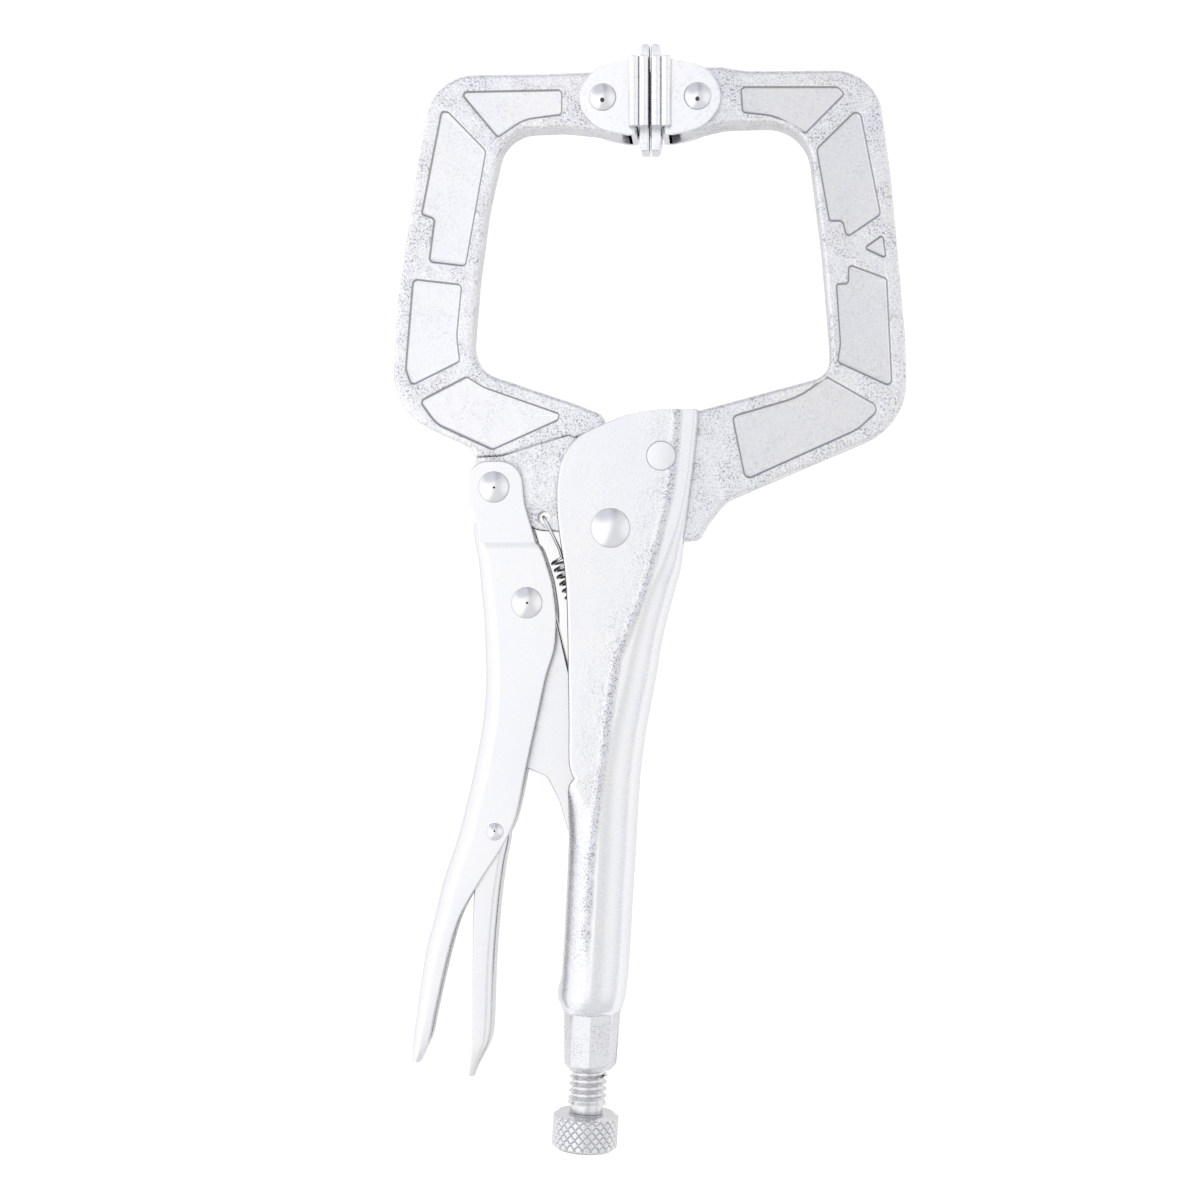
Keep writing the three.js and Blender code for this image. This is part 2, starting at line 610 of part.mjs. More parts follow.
swivelPad('movable', MOVABLE_PAD_PIVOT, 0);
swivelPad('fixed', FIXED_PAD_PIVOT, Math.PI);

tool.updateMatrixWorld(true);
const box = new THREE.Box3().setFromObject(tool, true);
tool.position.set(-(box.min.x + box.max.x) / 2, -(box.min.y + box.max.y) / 2, -box.min.z);

const pliers = new THREE.Group();
pliers.add(tool);

export default pliers;
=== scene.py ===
"""Locking C-clamp pliers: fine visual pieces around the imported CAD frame."""
import math

import bmesh
import bpy
from mathutils import Matrix, Vector
from mathutils.geometry import tessellate_polygon


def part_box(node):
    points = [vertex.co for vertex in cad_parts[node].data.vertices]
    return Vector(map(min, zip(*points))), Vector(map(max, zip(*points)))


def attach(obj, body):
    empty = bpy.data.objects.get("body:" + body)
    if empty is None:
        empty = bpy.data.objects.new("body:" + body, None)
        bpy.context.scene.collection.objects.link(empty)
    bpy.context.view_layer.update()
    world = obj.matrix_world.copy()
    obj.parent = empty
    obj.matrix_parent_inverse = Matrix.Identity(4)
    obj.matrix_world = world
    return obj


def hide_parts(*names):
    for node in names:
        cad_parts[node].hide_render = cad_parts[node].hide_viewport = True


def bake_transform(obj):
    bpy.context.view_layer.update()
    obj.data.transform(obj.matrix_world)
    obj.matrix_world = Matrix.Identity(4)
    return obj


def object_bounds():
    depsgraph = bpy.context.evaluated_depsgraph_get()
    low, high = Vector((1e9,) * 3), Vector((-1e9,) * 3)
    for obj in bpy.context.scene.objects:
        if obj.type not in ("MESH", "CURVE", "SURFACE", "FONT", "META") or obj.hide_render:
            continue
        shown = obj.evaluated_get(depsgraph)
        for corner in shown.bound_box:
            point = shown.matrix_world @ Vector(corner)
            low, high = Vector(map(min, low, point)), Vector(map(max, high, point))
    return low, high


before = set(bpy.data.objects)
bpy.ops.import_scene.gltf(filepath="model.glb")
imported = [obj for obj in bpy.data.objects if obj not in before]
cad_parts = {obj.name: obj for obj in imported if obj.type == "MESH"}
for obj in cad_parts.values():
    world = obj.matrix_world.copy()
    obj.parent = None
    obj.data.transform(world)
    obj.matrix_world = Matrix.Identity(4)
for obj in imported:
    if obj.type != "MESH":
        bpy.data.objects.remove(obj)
cad_low, cad_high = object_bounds()

MM = 0.001
# Every outline below is in millimetres round the main pivot, on the tool's mid-plane.
rivet_low, rivet_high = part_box("main_pivot_rivet")
ORIGIN = (rivet_low + rivet_high) / 2

MAIN_PIVOT = (0, 0)
LEVER_PIVOT = (-29.2, 10.3)
LINK_PIVOT = (-20.9, -18.6)
RELEASE_PIVOT = (-28.9, -75.7)
JAW_RIVET = (12.6, 17.9)
MOVABLE_PAD = (-2, 107.2)
FIXED_PAD = (21.6, 107.2)
SPRING_HOLE = (-16.9, 2.8)
SPRING_ANCHOR = (-1.2, -40.4)
# Where the flat of the handle's cheek turns into its bent back.
CREASE = [
    (17.8, 29.7), (15.9, 9.8), (14.1, 2), (11.1, -9.8), (5.5, -26.2), (2.8, -33.2), (1, -44),
    (-0.8, -59.4), (-3.4, -78.5), (-4.5, -95.6), (-5.9, -118),
]

JAW_HALF = 5
JAW_EDGE = 1.1
PANEL_DEPTH = 0.6
LOBE_HALF = 4.2
LOBE_EDGE = 0.5
CHEEK_HALF = 7.7
CHEEK_INNER = 5.3
HANDLE_SHEET = 2.4
EAR_HALF = 6.5
LEVER_SHEET = 2
LEVER_HALF = 6.9
LINK_HALF = 2.5
RELEASE_HALF = 4.4
RELEASE_SHEET = 1.2
PAD_EAR_HALF = 6.9
PAD_SHEET = 1.6
PAD_BASE = 6.9
PAD_FACE = 11.55
PAD_PLATE_HALF = 9.3
PAD_WRAP = 6.55
PAD_ENDS = (-7.6, 9.8)
TONGUE_ENDS = (-12.9, 13.8)
TONGUE_HALF = 4.5

SCREW_TOP = (-3.1, -87.4)
SCREW_LEAN = math.radians(3.26)
SCREW_RADIUS = 4.8
THREAD_PITCH = 1.75
THREAD_LENGTH = 57.2
SHOULDER_LENGTH = 2
KNOB_RADIUS = 8.2
KNOB_LENGTH = 9.2

ARC_STEP = math.radians(9)
# Half of the opening of a channel that is open along its whole side: more than any half width.
OPENED = 20
# Points from the open edge of a channel's section to the middle of its back.
PATH_POINTS = 20
# Points that round off one corner of a cut sheet edge.
CORNER_POINTS = 2
# Points round a rivet's head.
RIVET_POINTS = 56

# Which of a forging's materials a face has: the forged skin, or a sunk panel's lip, wall or floor. The wall's
# dark grey is painted shade in the panel's steep sides.
LIP, SHADED_WALL, FLOOR = 0, 1, 2


def at(x, y, z=0):
    """A point of the drawing, in metres in the frame."""
    return Vector((x, y, z)) * MM + ORIGIN


# ------------------------------------------------------------------ mesh tools


def rounded(corners):
    """Points of a closed outline, counter-clockwise, from corners (x, y, radius)."""
    points = []
    count = len(corners)
    for i, corner in enumerate(corners):
        here = Vector(corner[:2])
        radius = corner[2] if len(corner) > 2 else 0
        back = Vector(corners[i - 1][:2]) - here
        ahead = Vector(corners[(i + 1) % count][:2]) - here
        half_angle = back.angle(ahead) / 2
        reach = min(radius / math.tan(half_angle), 0.49 * min(back.length, ahead.length))
        if reach < 0.05:
            points.append(here)
            continue
        back.normalize()
        ahead.normalize()
        centre = here + (back + ahead).normalized() * (reach / math.cos(half_angle))
        start = here + back * reach - centre
        end = here + ahead * reach - centre
        sweep = math.atan2(start.x * end.y - start.y * end.x, start.dot(end))
        steps = max(1, math.ceil(abs(sweep) / ARC_STEP))
        for k in range(steps + 1):
            turn = Matrix.Rotation(sweep * k / steps, 2)
            points.append(centre + turn @ start)
    area = sum(a.x * b.y - a.y * b.x for a, b in zip(points, points[1:] + points[:1]))
    return points if area > 0 else points[::-1]


def angles(count):
    """Angles evenly spaced round a circle."""
    return [2 * math.pi * k / count for k in range(count)]


def circle(centre, radius, count=32):
    cx, cy = centre
    return [Vector((cx + radius * math.cos(a), cy + radius * math.sin(a))) for a in angles(count)]


def inset(points, distance):
    """A counter-clockwise outline moved inwards."""
    moved = []
    count = len(points)
    for i, point in enumerate(points):
        before = (point - points[i - 1]).normalized()
        after = (points[(i + 1) % count] - point).normalized()
        n1 = Vector((-before.y, before.x))
        n2 = Vector((-after.y, after.x))
        moved.append(point + (n1 + n2) * (distance / max(1 + n1.dot(n2), 0.3)))
    return moved


class Solid:
    """Vertices and faces of one piece, in drawing millimetres.

    finish holds, for the faces that differ, which of the piece's materials they have.
    """

    def __init__(self):
        self.vertices = []
        self.faces = []
        self.finish = {}

    def ring(self, points, z=None):
        start = len(self.vertices)
        self.vertices += [(p[0], p[1], p[2] if z is None else z) for p in points]
        return list(range(start, len(self.vertices)))

    def bridge(self, a, b, finish=0):
        count = len(a)
        for i in range(count):
            j = (i + 1) % count
            self.finish[len(self.faces)] = finish
            self.faces.append((a[i], a[j], b[j], b[i]))

    def loft(self, rings):
        """A closed body through rings of points, with a flat cap at each end."""
        made = [self.ring(points) for points in rings]
        for a, b in zip(made, made[1:]):
            self.bridge(a, b)
        self.cap(made[0], made[-1])

    def cap(self, first, last):
        """The two flat ends of a body made of bridged rings."""
        self.faces.append(tuple(reversed(first)))
        self.faces.append(tuple(last))

    def fill(self, rings, finish=0):
        """A flat face with holes: the first ring is its edge."""
        loops = [[Vector(self.vertices[i]) for i in ring] for ring in rings]
        index = [i for ring in rings for i in ring]
        for face in tessellate_polygon(loops):
            self.finish[len(self.faces)] = finish
            self.faces.append(tuple(index[k] for k in face))

    def side(self, outline, half, edge, pockets, depth, holes, sign):
        """One face of a plate, with its rounded edge and its pockets."""
        steps = 5
        rim = []
        for k in range(steps + 1):
            angle = math.pi / 2 * k / steps
            z = half - edge * (1 - math.sin(angle))
            rim.append(self.ring(inset(outline, edge * (1 - math.cos(angle))), sign * z))
        for a, b in zip(rim, rim[1:]):
            self.bridge(a, b)
        openings = []
        for pocket in pockets:
            openings.append(self.pocket(rounded(pocket), half, depth, sign))
        for hole in holes:
            openings.append(self.ring(hole, sign * half))
        self.fill([rim[-1], *openings])
        return rim[0], openings[len(pockets):]

    def pocket(self, outline, half, depth, sign):
        """A sunk panel: a soft lip, a steep wall in a dark grey that is painted shade, and a fillet at its
        floor.
        """
        profile = [
            (-0.3, 0, LIP), (-0.08, 0.06, SHADED_WALL), (0.08, 0.22, SHADED_WALL), (0.2, depth - 0.25, SHADED_WALL),
            (0.36, depth - 0.08, FLOOR), (0.6, depth, FLOOR),
        ]
        rings = [self.ring(inset(outline, d), sign * (half - down)) for d, down, _ in profile]
        for a, b, (_, _, finish) in zip(rings, rings[1:], profile):
            self.bridge(a, b, finish)
        self.fill([rings[-1]], FLOOR)
        return rings[0]

    def plate(self, corners, half, edge, pockets=(), depth=PANEL_DEPTH, holes=()):
        """A plate centred on the mid-plane with rounded edges, pockets and holes on both sides."""
        outline = rounded(corners)
        top, top_holes = self.side(outline, half, edge, pockets, depth, holes, 1)
        low, low_holes = self.side(outline, half, edge, pockets, depth, holes, -1)
        self.bridge(top, low)
        for a, b in zip(top_holes, low_holes):
            self.bridge(a, b)

    def cheek(self, corners, z0, z1, edge):
        """A plate from z0 to z1, and its mirror image below the mid-plane."""
        outline = rounded(corners)
        middle = (z0 + z1) / 2
        half = abs(z1 - z0) / 2
        for sign in (1, -1):
            first = len(self.vertices)
            top, _ = self.side(outline, half, edge, (), 0, (), 1)
            low, _ = self.side(outline, half, edge, (), 0, (), -1)
            self.bridge(top, low)
            for i in range(first, len(self.vertices)):
                x, y, z = self.vertices[i]
                self.vertices[i] = (x, y, z + sign * middle)

    def paint(self, inside):
        """Gives the second material to each face whose points all pass a test."""
        for face, points in enumerate(self.faces):
            if all(inside(Vector(self.vertices[i])) for i in points):
                self.finish[face] = 1

    def lathe(self, profile, place, count=48):
        """A turned body; profile is (radius, height) from axis to axis, place maps points."""
        rings = []
        for radius, height in profile[1:-1]:
            points = [Vector((radius * math.cos(a), radius * math.sin(a), height)) for a in angles(count)]
            rings.append(self.ring([place(point) for point in points]))
        for a, b in zip(rings, rings[1:]):
            self.bridge(a, b)
        for end, ring in ((profile[0], rings[0]), (profile[-1], rings[-1])):
            tip = self.ring([place(Vector((0, 0, end[1])))])[0]
            for i in range(count):
                self.faces.append((ring[i], ring[(i + 1) % count], tip))

    def build(self, name, body, node, slot, *materials, sharp=math.radians(38)):
        """The finished piece, riding on its body in place of its CAD node."""
        mesh = bpy.data.meshes.new(name)
        mesh.from_pydata([at(*v) for v in self.vertices], [], self.faces)
        for material in materials:
            mesh.materials.append(material)
        for face, finish in self.finish.items():
            mesh.polygons[face].material_index = finish if len(materials) > 1 else 0
        bm = bmesh.new()
        bm.from_mesh(mesh)
        bmesh.ops.remove_doubles(bm, verts=bm.verts, dist=1e-7)
        bmesh.ops.dissolve_degenerate(bm, edges=bm.edges, dist=1e-7)
        bmesh.ops.recalc_face_normals(bm, faces=bm.faces)
        bm.to_mesh(mesh)
        bm.free()
        mesh.polygons.foreach_set("use_smooth", [True] * len(mesh.polygons))
        mesh.set_sharp_from_angle(angle=sharp)
        piece = bpy.data.objects.new(name, mesh)
        bpy.context.scene.collection.objects.link(piece)
        weighted = piece.modifiers.new("flat faces stay flat", "WEIGHTED_NORMAL")
        weighted.keep_sharp = True
        weighted.weight = 100
        if body:
            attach(piece, body)
        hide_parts(node)
        return piece


def smooth_table(rows, step):
    """Rows (y, values...) from the top down, with rows added between them along smooth curves."""

    def slopes(column):
        steps = [(b[column] - a[column]) / (b[0] - a[0]) for a, b in zip(rows, rows[1:])]
        inner = [0 if p * q <= 0 else 2 * p * q / (p + q) for p, q in zip(steps, steps[1:])]
        return [steps[0], *inner, steps[-1]]

    tangents = [slopes(column) for column in range(1, len(rows[0]))]
    table = []
    for i, (a, b) in enumerate(zip(rows, rows[1:])):
        length = b[0] - a[0]
        count = max(1, math.ceil(abs(length) / step))
        for k in range(count):
            t = k / count
            row = [a[0] + t * length]
            for column, slope in enumerate(tangents, 1):
                p, q = a[column], b[column]
                m, n = slope[i] * length, slope[i + 1] * length
                t2, t3 = t * t, t * t * t
                row.append((2 * t3 - 3 * t2 + 1) * p + (t3 - 2 * t2 + t) * m
                           + (3 * t2 - 2 * t3) * q + (t3 - t2) * n)
            table.append(row)
    table.append(list(rows[-1]))
    return table


def channel_path(lip, back, half, lip_radius, back_radius, slot):
    """Half of a channel's outer section, from its open edge round to the middle of its back.

    It runs up the lip side from z = slot, over the lip corner, along the cheek and down the back.
    """
    way = 1 if back > lip else -1
    steps = PATH_POINTS // 2 - 1
    lip_radius = max(lip_radius, 0.01)
    side = half - lip_radius
    if slot <= side:
        start = slot
    else:
        start = side + lip_radius * math.asin(min((slot - side) / lip_radius, 1))
    corner_end = side + lip_radius * math.pi / 2
    stop = max(corner_end, start + min(1.5, 0.5 * (abs(back - lip) - back_radius)))
    points = []
    for k in range(steps + 1):
        s = start + (stop - start) * k / steps
        if s <= side:
            points.append(Vector((lip, s)))
        elif s <= corner_end:
            angle = (s - side) / lip_radius
            x = lip_radius * (1 - math.cos(angle))
            points.append(Vector((lip + way * x, side + lip_radius * math.sin(angle))))
        else:
            points.append(Vector((lip + way * (lip_radius + s - corner_end), half)))
    for k in range(steps + 1):
        angle = math.pi / 2 * (1 - k / steps)
        x = back_radius * (math.cos(angle) - 1)
        z = half - back_radius + back_radius * math.sin(angle)
        points.append(Vector((back + way * x, z)))
    return points


def offset_path(points, distance):
    """An open path moved to its right-hand side."""
    moved = []
    for i, point in enumerate(points):
        before = (point - points[i - 1]).normalized() if i else None
        after = (points[i + 1] - point).normalized() if i + 1 < len(points) else None
        before = before or after
        after = after or before
        n1 = Vector((before.y, -before.x))
        n2 = Vector((after.y, -after.x))
        moved.append(point + (n1 + n2) * (distance / max(1 + n1.dot(n2), 0.3)))
    return moved


def cut_corner(corner, along, across, edge):
    """Points that round a square corner, from across it to along it."""
    centre = corner + (along + across) * edge
    turns = [math.pi / 2 * (k + 1) / (CORNER_POINTS + 1) for k in range(CORNER_POINTS)]
    arc = [centre - (along * math.cos(a) + across * math.sin(a)) * edge for a in turns]
    return [corner + across * edge, *arc]


def channel_ring(row, sheet, edge=0.3):
    """The closed section of a bent sheet, for a row (y, lip, back, half, lip radius, back radius, slot)."""
    y, lip, back, half, lip_radius, back_radius, slot = row
    outer = channel_path(lip, back, half, lip_radius, back_radius, min(slot, half))
    inner = offset_path(outer, sheet if back > lip else -sheet)
    across = (inner[0] - outer[0]).normalized()
    rim = cut_corner(inner[0], (inner[1] - inner[0]).normalized(), -across, edge)[::-1]
    rim += cut_corner(outer[0], (outer[1] - outer[0]).normalized(), across, edge)
    squeezed = PATH_POINTS // 2 - 1
    for path in (outer, inner):
        for i in range(squeezed):
            path[i] = path[i] + (path[i + 1] - path[i]).normalized() * (edge * (1 - i / squeezed))
    upper = [*reversed(inner), *rim, *outer]
    lower = [Vector((x, -z)) for x, z in reversed(upper)]
    return [Vector((x, y, z)) for x, z in [*upper, *lower]]


# ------------------------------------------------------------------ materials


def link(tree, start, end):
    tree.links.new(start, end)


def noise(tree, coordinates, scale, detail=3.0, roughness=0.55):
    node = tree.nodes.new("ShaderNodeTexNoise")
    node.inputs["Scale"].default_value = scale
    node.inputs["Detail"].default_value = detail
    node.inputs["Roughness"].default_value = roughness
    link(tree, coordinates, node.inputs["Vector"])
    return node.outputs["Fac"]


def ramp(tree, factor, low, high, low_value, high_value):
    """Maps a factor between two values; the values may be numbers or colours."""
    if isinstance(low_value, tuple):
        node = tree.nodes.new("ShaderNodeValToRGB")
        node.color_ramp.elements[0].position = low
        node.color_ramp.elements[1].position = high
        node.color_ramp.elements[0].color = (*low_value, 1)
        node.color_ramp.elements[1].color = (*high_value, 1)
        link(tree, factor, node.inputs["Fac"])
        return node.outputs["Color"]
    node = tree.nodes.new("ShaderNodeMapRange")
    node.inputs["From Min"].default_value = low
    node.inputs["From Max"].default_value = high
    node.inputs["To Min"].default_value = low_value
    node.inputs["To Max"].default_value = high_value
    link(tree, factor, node.inputs["Value"])
    return node.outputs["Result"]


def multiplied(tree, share, a, b):
    """One colour multiplied by another; share, a number or a socket, is how far."""
    node = tree.nodes.new("ShaderNodeMix")
    node.data_type = "RGBA"
    node.blend_type = "MULTIPLY"
    if isinstance(share, (int, float)):
        node.inputs["Factor"].default_value = share
    else:
        link(tree, share, node.inputs["Factor"])
    link(tree, a, node.inputs["A"])
    link(tree, b, node.inputs["B"])
    return node.outputs["Result"]


def math_node(tree, operation, first, second=None):
    """A maths node whose inputs are numbers or sockets."""
    node = tree.nodes.new("ShaderNodeMath")
    node.operation = operation
    for socket, value in zip(node.inputs, (first, second)):
        if isinstance(value, (int, float)):
            socket.default_value = value
        elif value is not None:
            link(tree, value, socket)
    return node.outputs["Value"]


def crease_mask(tree, place):
    """How far a point lies right of the handle's crease, in mm, and its place along it from 0 to 1."""
    apart = tree.nodes.new("ShaderNodeSeparateXYZ")
    link(tree, place, apart.inputs["Vector"])
    bottom = at(0, CREASE[-1][1]).y
    top = at(0, CREASE[0][1]).y
    along = ramp(tree, apart.outputs["Y"], bottom, top, 0.0, 1.0)
    left = min(x for x, _ in CREASE)
    right = max(x for x, _ in CREASE)
    curve = tree.nodes.new("ShaderNodeFloatCurve")
    points = curve.mapping.curves[0].points
    for i, (x, y) in enumerate(reversed(CREASE)):
        spot = ((at(0, y).y - bottom) / (top - bottom), (x - left) / (right - left))
        if i in (0, len(CREASE) - 1):
            points[0 if i == 0 else -1].location = spot
        else:
            points.new(*spot)
    curve.mapping.update()
    link(tree, along, curve.inputs["Value"])
    line = ramp(tree, curve.outputs["Value"], 0.0, 1.0, at(left, 0).x, at(right, 0).x)
    beyond = math_node(tree, "MULTIPLY", math_node(tree, "SUBTRACT", apart.outputs["X"], line), 1 / MM)
    return beyond, along


def shaded(tree, colour, factor, low, high, shade):
    """Darkens a colour where a factor is below high, down to a share of it at low."""
    shades = ramp(tree, factor, low, high, (shade, shade, shade * 1.02), (1.0, 1.0, 1.0))
    return multiplied(tree, 1.0, colour, shades)


def crease_grain_and_shade(tree, place, colour, amount):
    """Colour and grain along the handle's crease: darkened there, partly as painted shade of the concave
    crease and partly as its dark granular skin, with a grain that is coarsest there; smooth right of it.
    """
    beyond, along = crease_mask(tree, place)
    strip = math_node(tree, "ABSOLUTE", math_node(tree, "ADD", beyond, 1.0))
    strip = math_node(tree, "ADD", strip, ramp(tree, along, 0.0, 0.12, 4.0, 0.0))
    near = ramp(tree, strip, 0.6, 1.8, 1.3, 0.0)
    wide = ramp(tree, strip, 1.0, 9.0, 0.7, 0.12)
    amount = math_node(tree, "ADD", amount, 0.2)
    amount = math_node(tree, "MULTIPLY", amount, math_node(tree, "ADD", near, wide))
    amount = math_node(tree, "MULTIPLY", amount, ramp(tree, beyond, -0.6, 0.3, 1.0, 0.04))
    # Partly painted shade: the colour falls to 0.84 along the crease strip.
    return shaded(tree, colour, strip, 0.4, 1.5, 0.84), amount


def plated_steel(name, tone, rough, grain, size, mottle=0.93, pits=0.0, side=0.8, creased=False):
    """Bright plated steel.

    tone is the plating's grey, rough its roughness, grain the height of its skin in mm and size that
    skin's scale in mm. mottle is how dark the skin's hollows are, pits how strong the dark speckle is,
    and side how far the surfaces square to the tool's faces are greyed: painted shade on side walls
    and rounded edges. A creased sheet is darkened along its crease, partly as painted shade, and is
    smooth right of its crease.
    """
    material = bpy.data.materials.new(name)
    material.use_nodes = True
    tree = material.node_tree
    shader = tree.nodes["Principled BSDF"]
    shader.inputs["Metallic"].default_value = 1.0
    place = tree.nodes.new("ShaderNodeTexCoord").outputs["Object"]
    cloud = noise(tree, place, 42, 3.0)
    skin = noise(tree, place, 1 / (size * MM), 4.0, 0.6)
    speck = noise(tree, place, 1.2 / (size * MM), 2.0, 0.5)
    patch = noise(tree, place, 160, 2.0)
    amount = ramp(tree, patch, 0.42, 0.62, 0.3, 1.0)
    warm = tuple(tone * c for c in (1.0, 0.997, 0.99))
    cool = tuple(tone * c for c in (0.972, 0.978, 1.0))
    colour = ramp(tree, cloud, 0.36, 0.66, warm, cool)
    if creased:
        colour, amount = crease_grain_and_shade(tree, place, colour, amount)
    colour = shaded(tree, colour, skin, 0.38, 0.58, mottle)
    specks = ramp(tree, speck, 0.36, 0.48, (0.5, 0.5, 0.53), (1.0, 1.0, 1.0))
    colour = multiplied(tree, math_node(tree, "MULTIPLY", amount, pits), colour, specks)
    turn = tree.nodes.new("ShaderNodeSeparateXYZ")
    link(tree, tree.nodes.new("ShaderNodeNewGeometry").outputs["Normal"], turn.inputs["Vector"])
    # Painted shade: the colour is greyed by the side share on surfaces square to the tool's faces.
    colour = shaded(tree, colour, math_node(tree, "ABSOLUTE", turn.outputs["Z"]), 0.0, 0.75, side)
    link(tree, colour, shader.inputs["Base Color"])
    link(tree, ramp(tree, skin, 0.3, 0.7, rough * 0.85, rough * 1.2), shader.inputs["Roughness"])
    relief = math_node(tree, "ADD", skin, math_node(tree, "MULTIPLY", speck, pits))
    bump = tree.nodes.new("ShaderNodeBump")
    bump.inputs["Strength"].default_value = 1.0
    bump.inputs["Distance"].default_value = grain * MM
    link(tree, math_node(tree, "MULTIPLY", relief, amount), bump.inputs["Height"])
    link(tree, bump.outputs["Normal"], shader.inputs["Normal"])
    return material


def forging(name, skin_tone, floor_tone):
    """A forged jaw's materials: its skin, the dark grey of its sunk panels' walls, which is painted shade,
    and the floor of those panels, which is smoother.
    """
    skin = plated_steel(f"{name} skin", skin_tone, 0.33, 0.17, 0.6, mottle=0.86, pits=1.0, side=0.66)
    floor = plated_steel(f"{name} panel floor", floor_tone, 0.34, 0.06, 0.7, mottle=0.94, pits=0.25, side=0.8)
    return skin, shaded_panel_wall, floor


# Each name is followed by tone, roughness, grain and size.
# Painted shade: a dark grey for the steep walls of sunk panels and the flush rivet's seat.
shaded_panel_wall = plated_steel("sunk panel wall painted shade", 0.46, 0.45, 0.02, 0.4, mottle=0.85, pits=0.3, side=0.9)
# The fixed jaw's tones are lower than the movable jaw's: painted shade on the right-hand jaw, away from the
# light.
movable_forging = forging("movable jaw", 0.94, 0.91)
fixed_forging = forging("fixed jaw", 0.88, 0.795)
stamped = plated_steel(
    "stamped plated steel", 0.88, 0.28, 0.12, 0.55, mottle=0.94, pits=0.7, side=0.72, creased=True
)
crimped = plated_steel("crimped collar", 0.8, 0.28, 0.1, 0.5, mottle=0.93, pits=0.6, side=0.72)
smooth_sheet = plated_steel("smooth plated sheet", 0.86, 0.26, 0.006, 2.0, mottle=0.975, side=0.58)
pad_sheet = plated_steel("pad sheet", 0.94, 0.27, 0.02, 1.2, mottle=0.96, pits=0.2, side=0.62)
polished = plated_steel("polished rivet", 0.84, 0.18, 0.001, 0.8, mottle=0.985, side=0.3)
# Painted shade and dark reflection: a near-black grey for the dents in the rivet heads.
dimple_painted_shade = plated_steel("rivet dimple painted shade", 0.10, 0.4, 0.004, 0.3, mottle=0.8, side=0.9)
turned = plated_steel("turned screw steel", 0.78, 0.24, 0.002, 0.6, mottle=0.96, side=0.7)
wire = plated_steel("spring wire", 0.85, 0.24, 0.002, 0.4, mottle=0.92, side=0.6)
# Painted shade: the clamping faces are near black, for the shaded slit between the pads.
clamp_face_painted_shade = plated_steel("clamping face painted shade", 0.13, 0.5, 0.01, 0.4, mottle=0.85, side=0.9)


# ------------------------------------------------------------------ jaws


def movable_jaw():
    arm = [
        (3.5, 114.9, 5), (-6, 114.1, 6), (-16.6, 113.8, 20), (-44.9, 113.8, 12.5), (-50.6, 78.7, 60),
        (-54.1, 54, 60), (-55, 29.5, 15), (-35.3, 20.4, 3), (-34, 17.6, 1), (-27.2, 18, 2),
        (-18.1, 20.9, 12), (-10.6, 23.1, 1.6), (-8.8, 22.4, 1.6), (-0.6, 24.6, 1.8), (-2.4, 28.5, 1.8),
        (-8.2, 30.9, 8), (-35.3, 40.1, 9), (-33.4, 62.9, 60), (-31, 80.9, 40), (-26.6, 99.8, 10),
        (-12.3, 100.3, 10), (-5.8, 99.6, 8), (-0.5, 98.9, 4), (3.3, 98.3, 3),
    ]
    lobe = [
        (-34.2, 18, 3), (-35.1, 4.5, 5.8), (-24, 3.5, 3), (-19, -0.4, 4), (-7.9, -1.2, 3),
        (-6, -8.6, 5), (6.4, -8.6, 6.4), (8.4, 2, 6), (-0.5, 24.8, 1.8), (-12, 24.5, 2), (-24, 21.8, 2),
    ]
    pockets = [
        [(-38.2, 109.5, 1), (-12.2, 109.7, 1.2), (-12.2, 103.3, 1), (-21.8, 102.2, 10), (-28.4, 97.7, 1)],
        [
            (-42.6, 104.8, 1.3), (-40.7, 104.4, 1), (-31.2, 94.6, 2), (-36.4, 65.6, 1.2),
            (-45.8, 66.8, 1.2), (-44.4, 77.6, 1), (-47.7, 78.7, 1),
        ],
        [
            (-49.8, 62.7, 1.3), (-37.3, 61.2, 1.2), (-38.6, 48.2, 12), (-37.8, 41.8, 1.2),
            (-50.2, 35.7, 1.2), (-51.7, 40, 4),
        ],
        [
            (-36.2, 38.2, 1.2), (-31.9, 35.5, 10), (-12.7, 28.7, 0.8), (-13.2, 27, 0.8),
            (-29.7, 19.6, 1.4), (-43.9, 26.1, 8), (-48.2, 32, 1.2),
        ],
    ]
    jaw = Solid()
    jaw.plate(arm, JAW_HALF, JAW_EDGE, pockets)
    jaw.plate(lobe, LOBE_HALF, LOBE_EDGE, holes=[circle(SPRING_HOLE, 1.6)])
    jaw.build("movable_jaw_forging", "movable_jaw_arm", "movable_jaw", "forged_steel", *movable_forging)


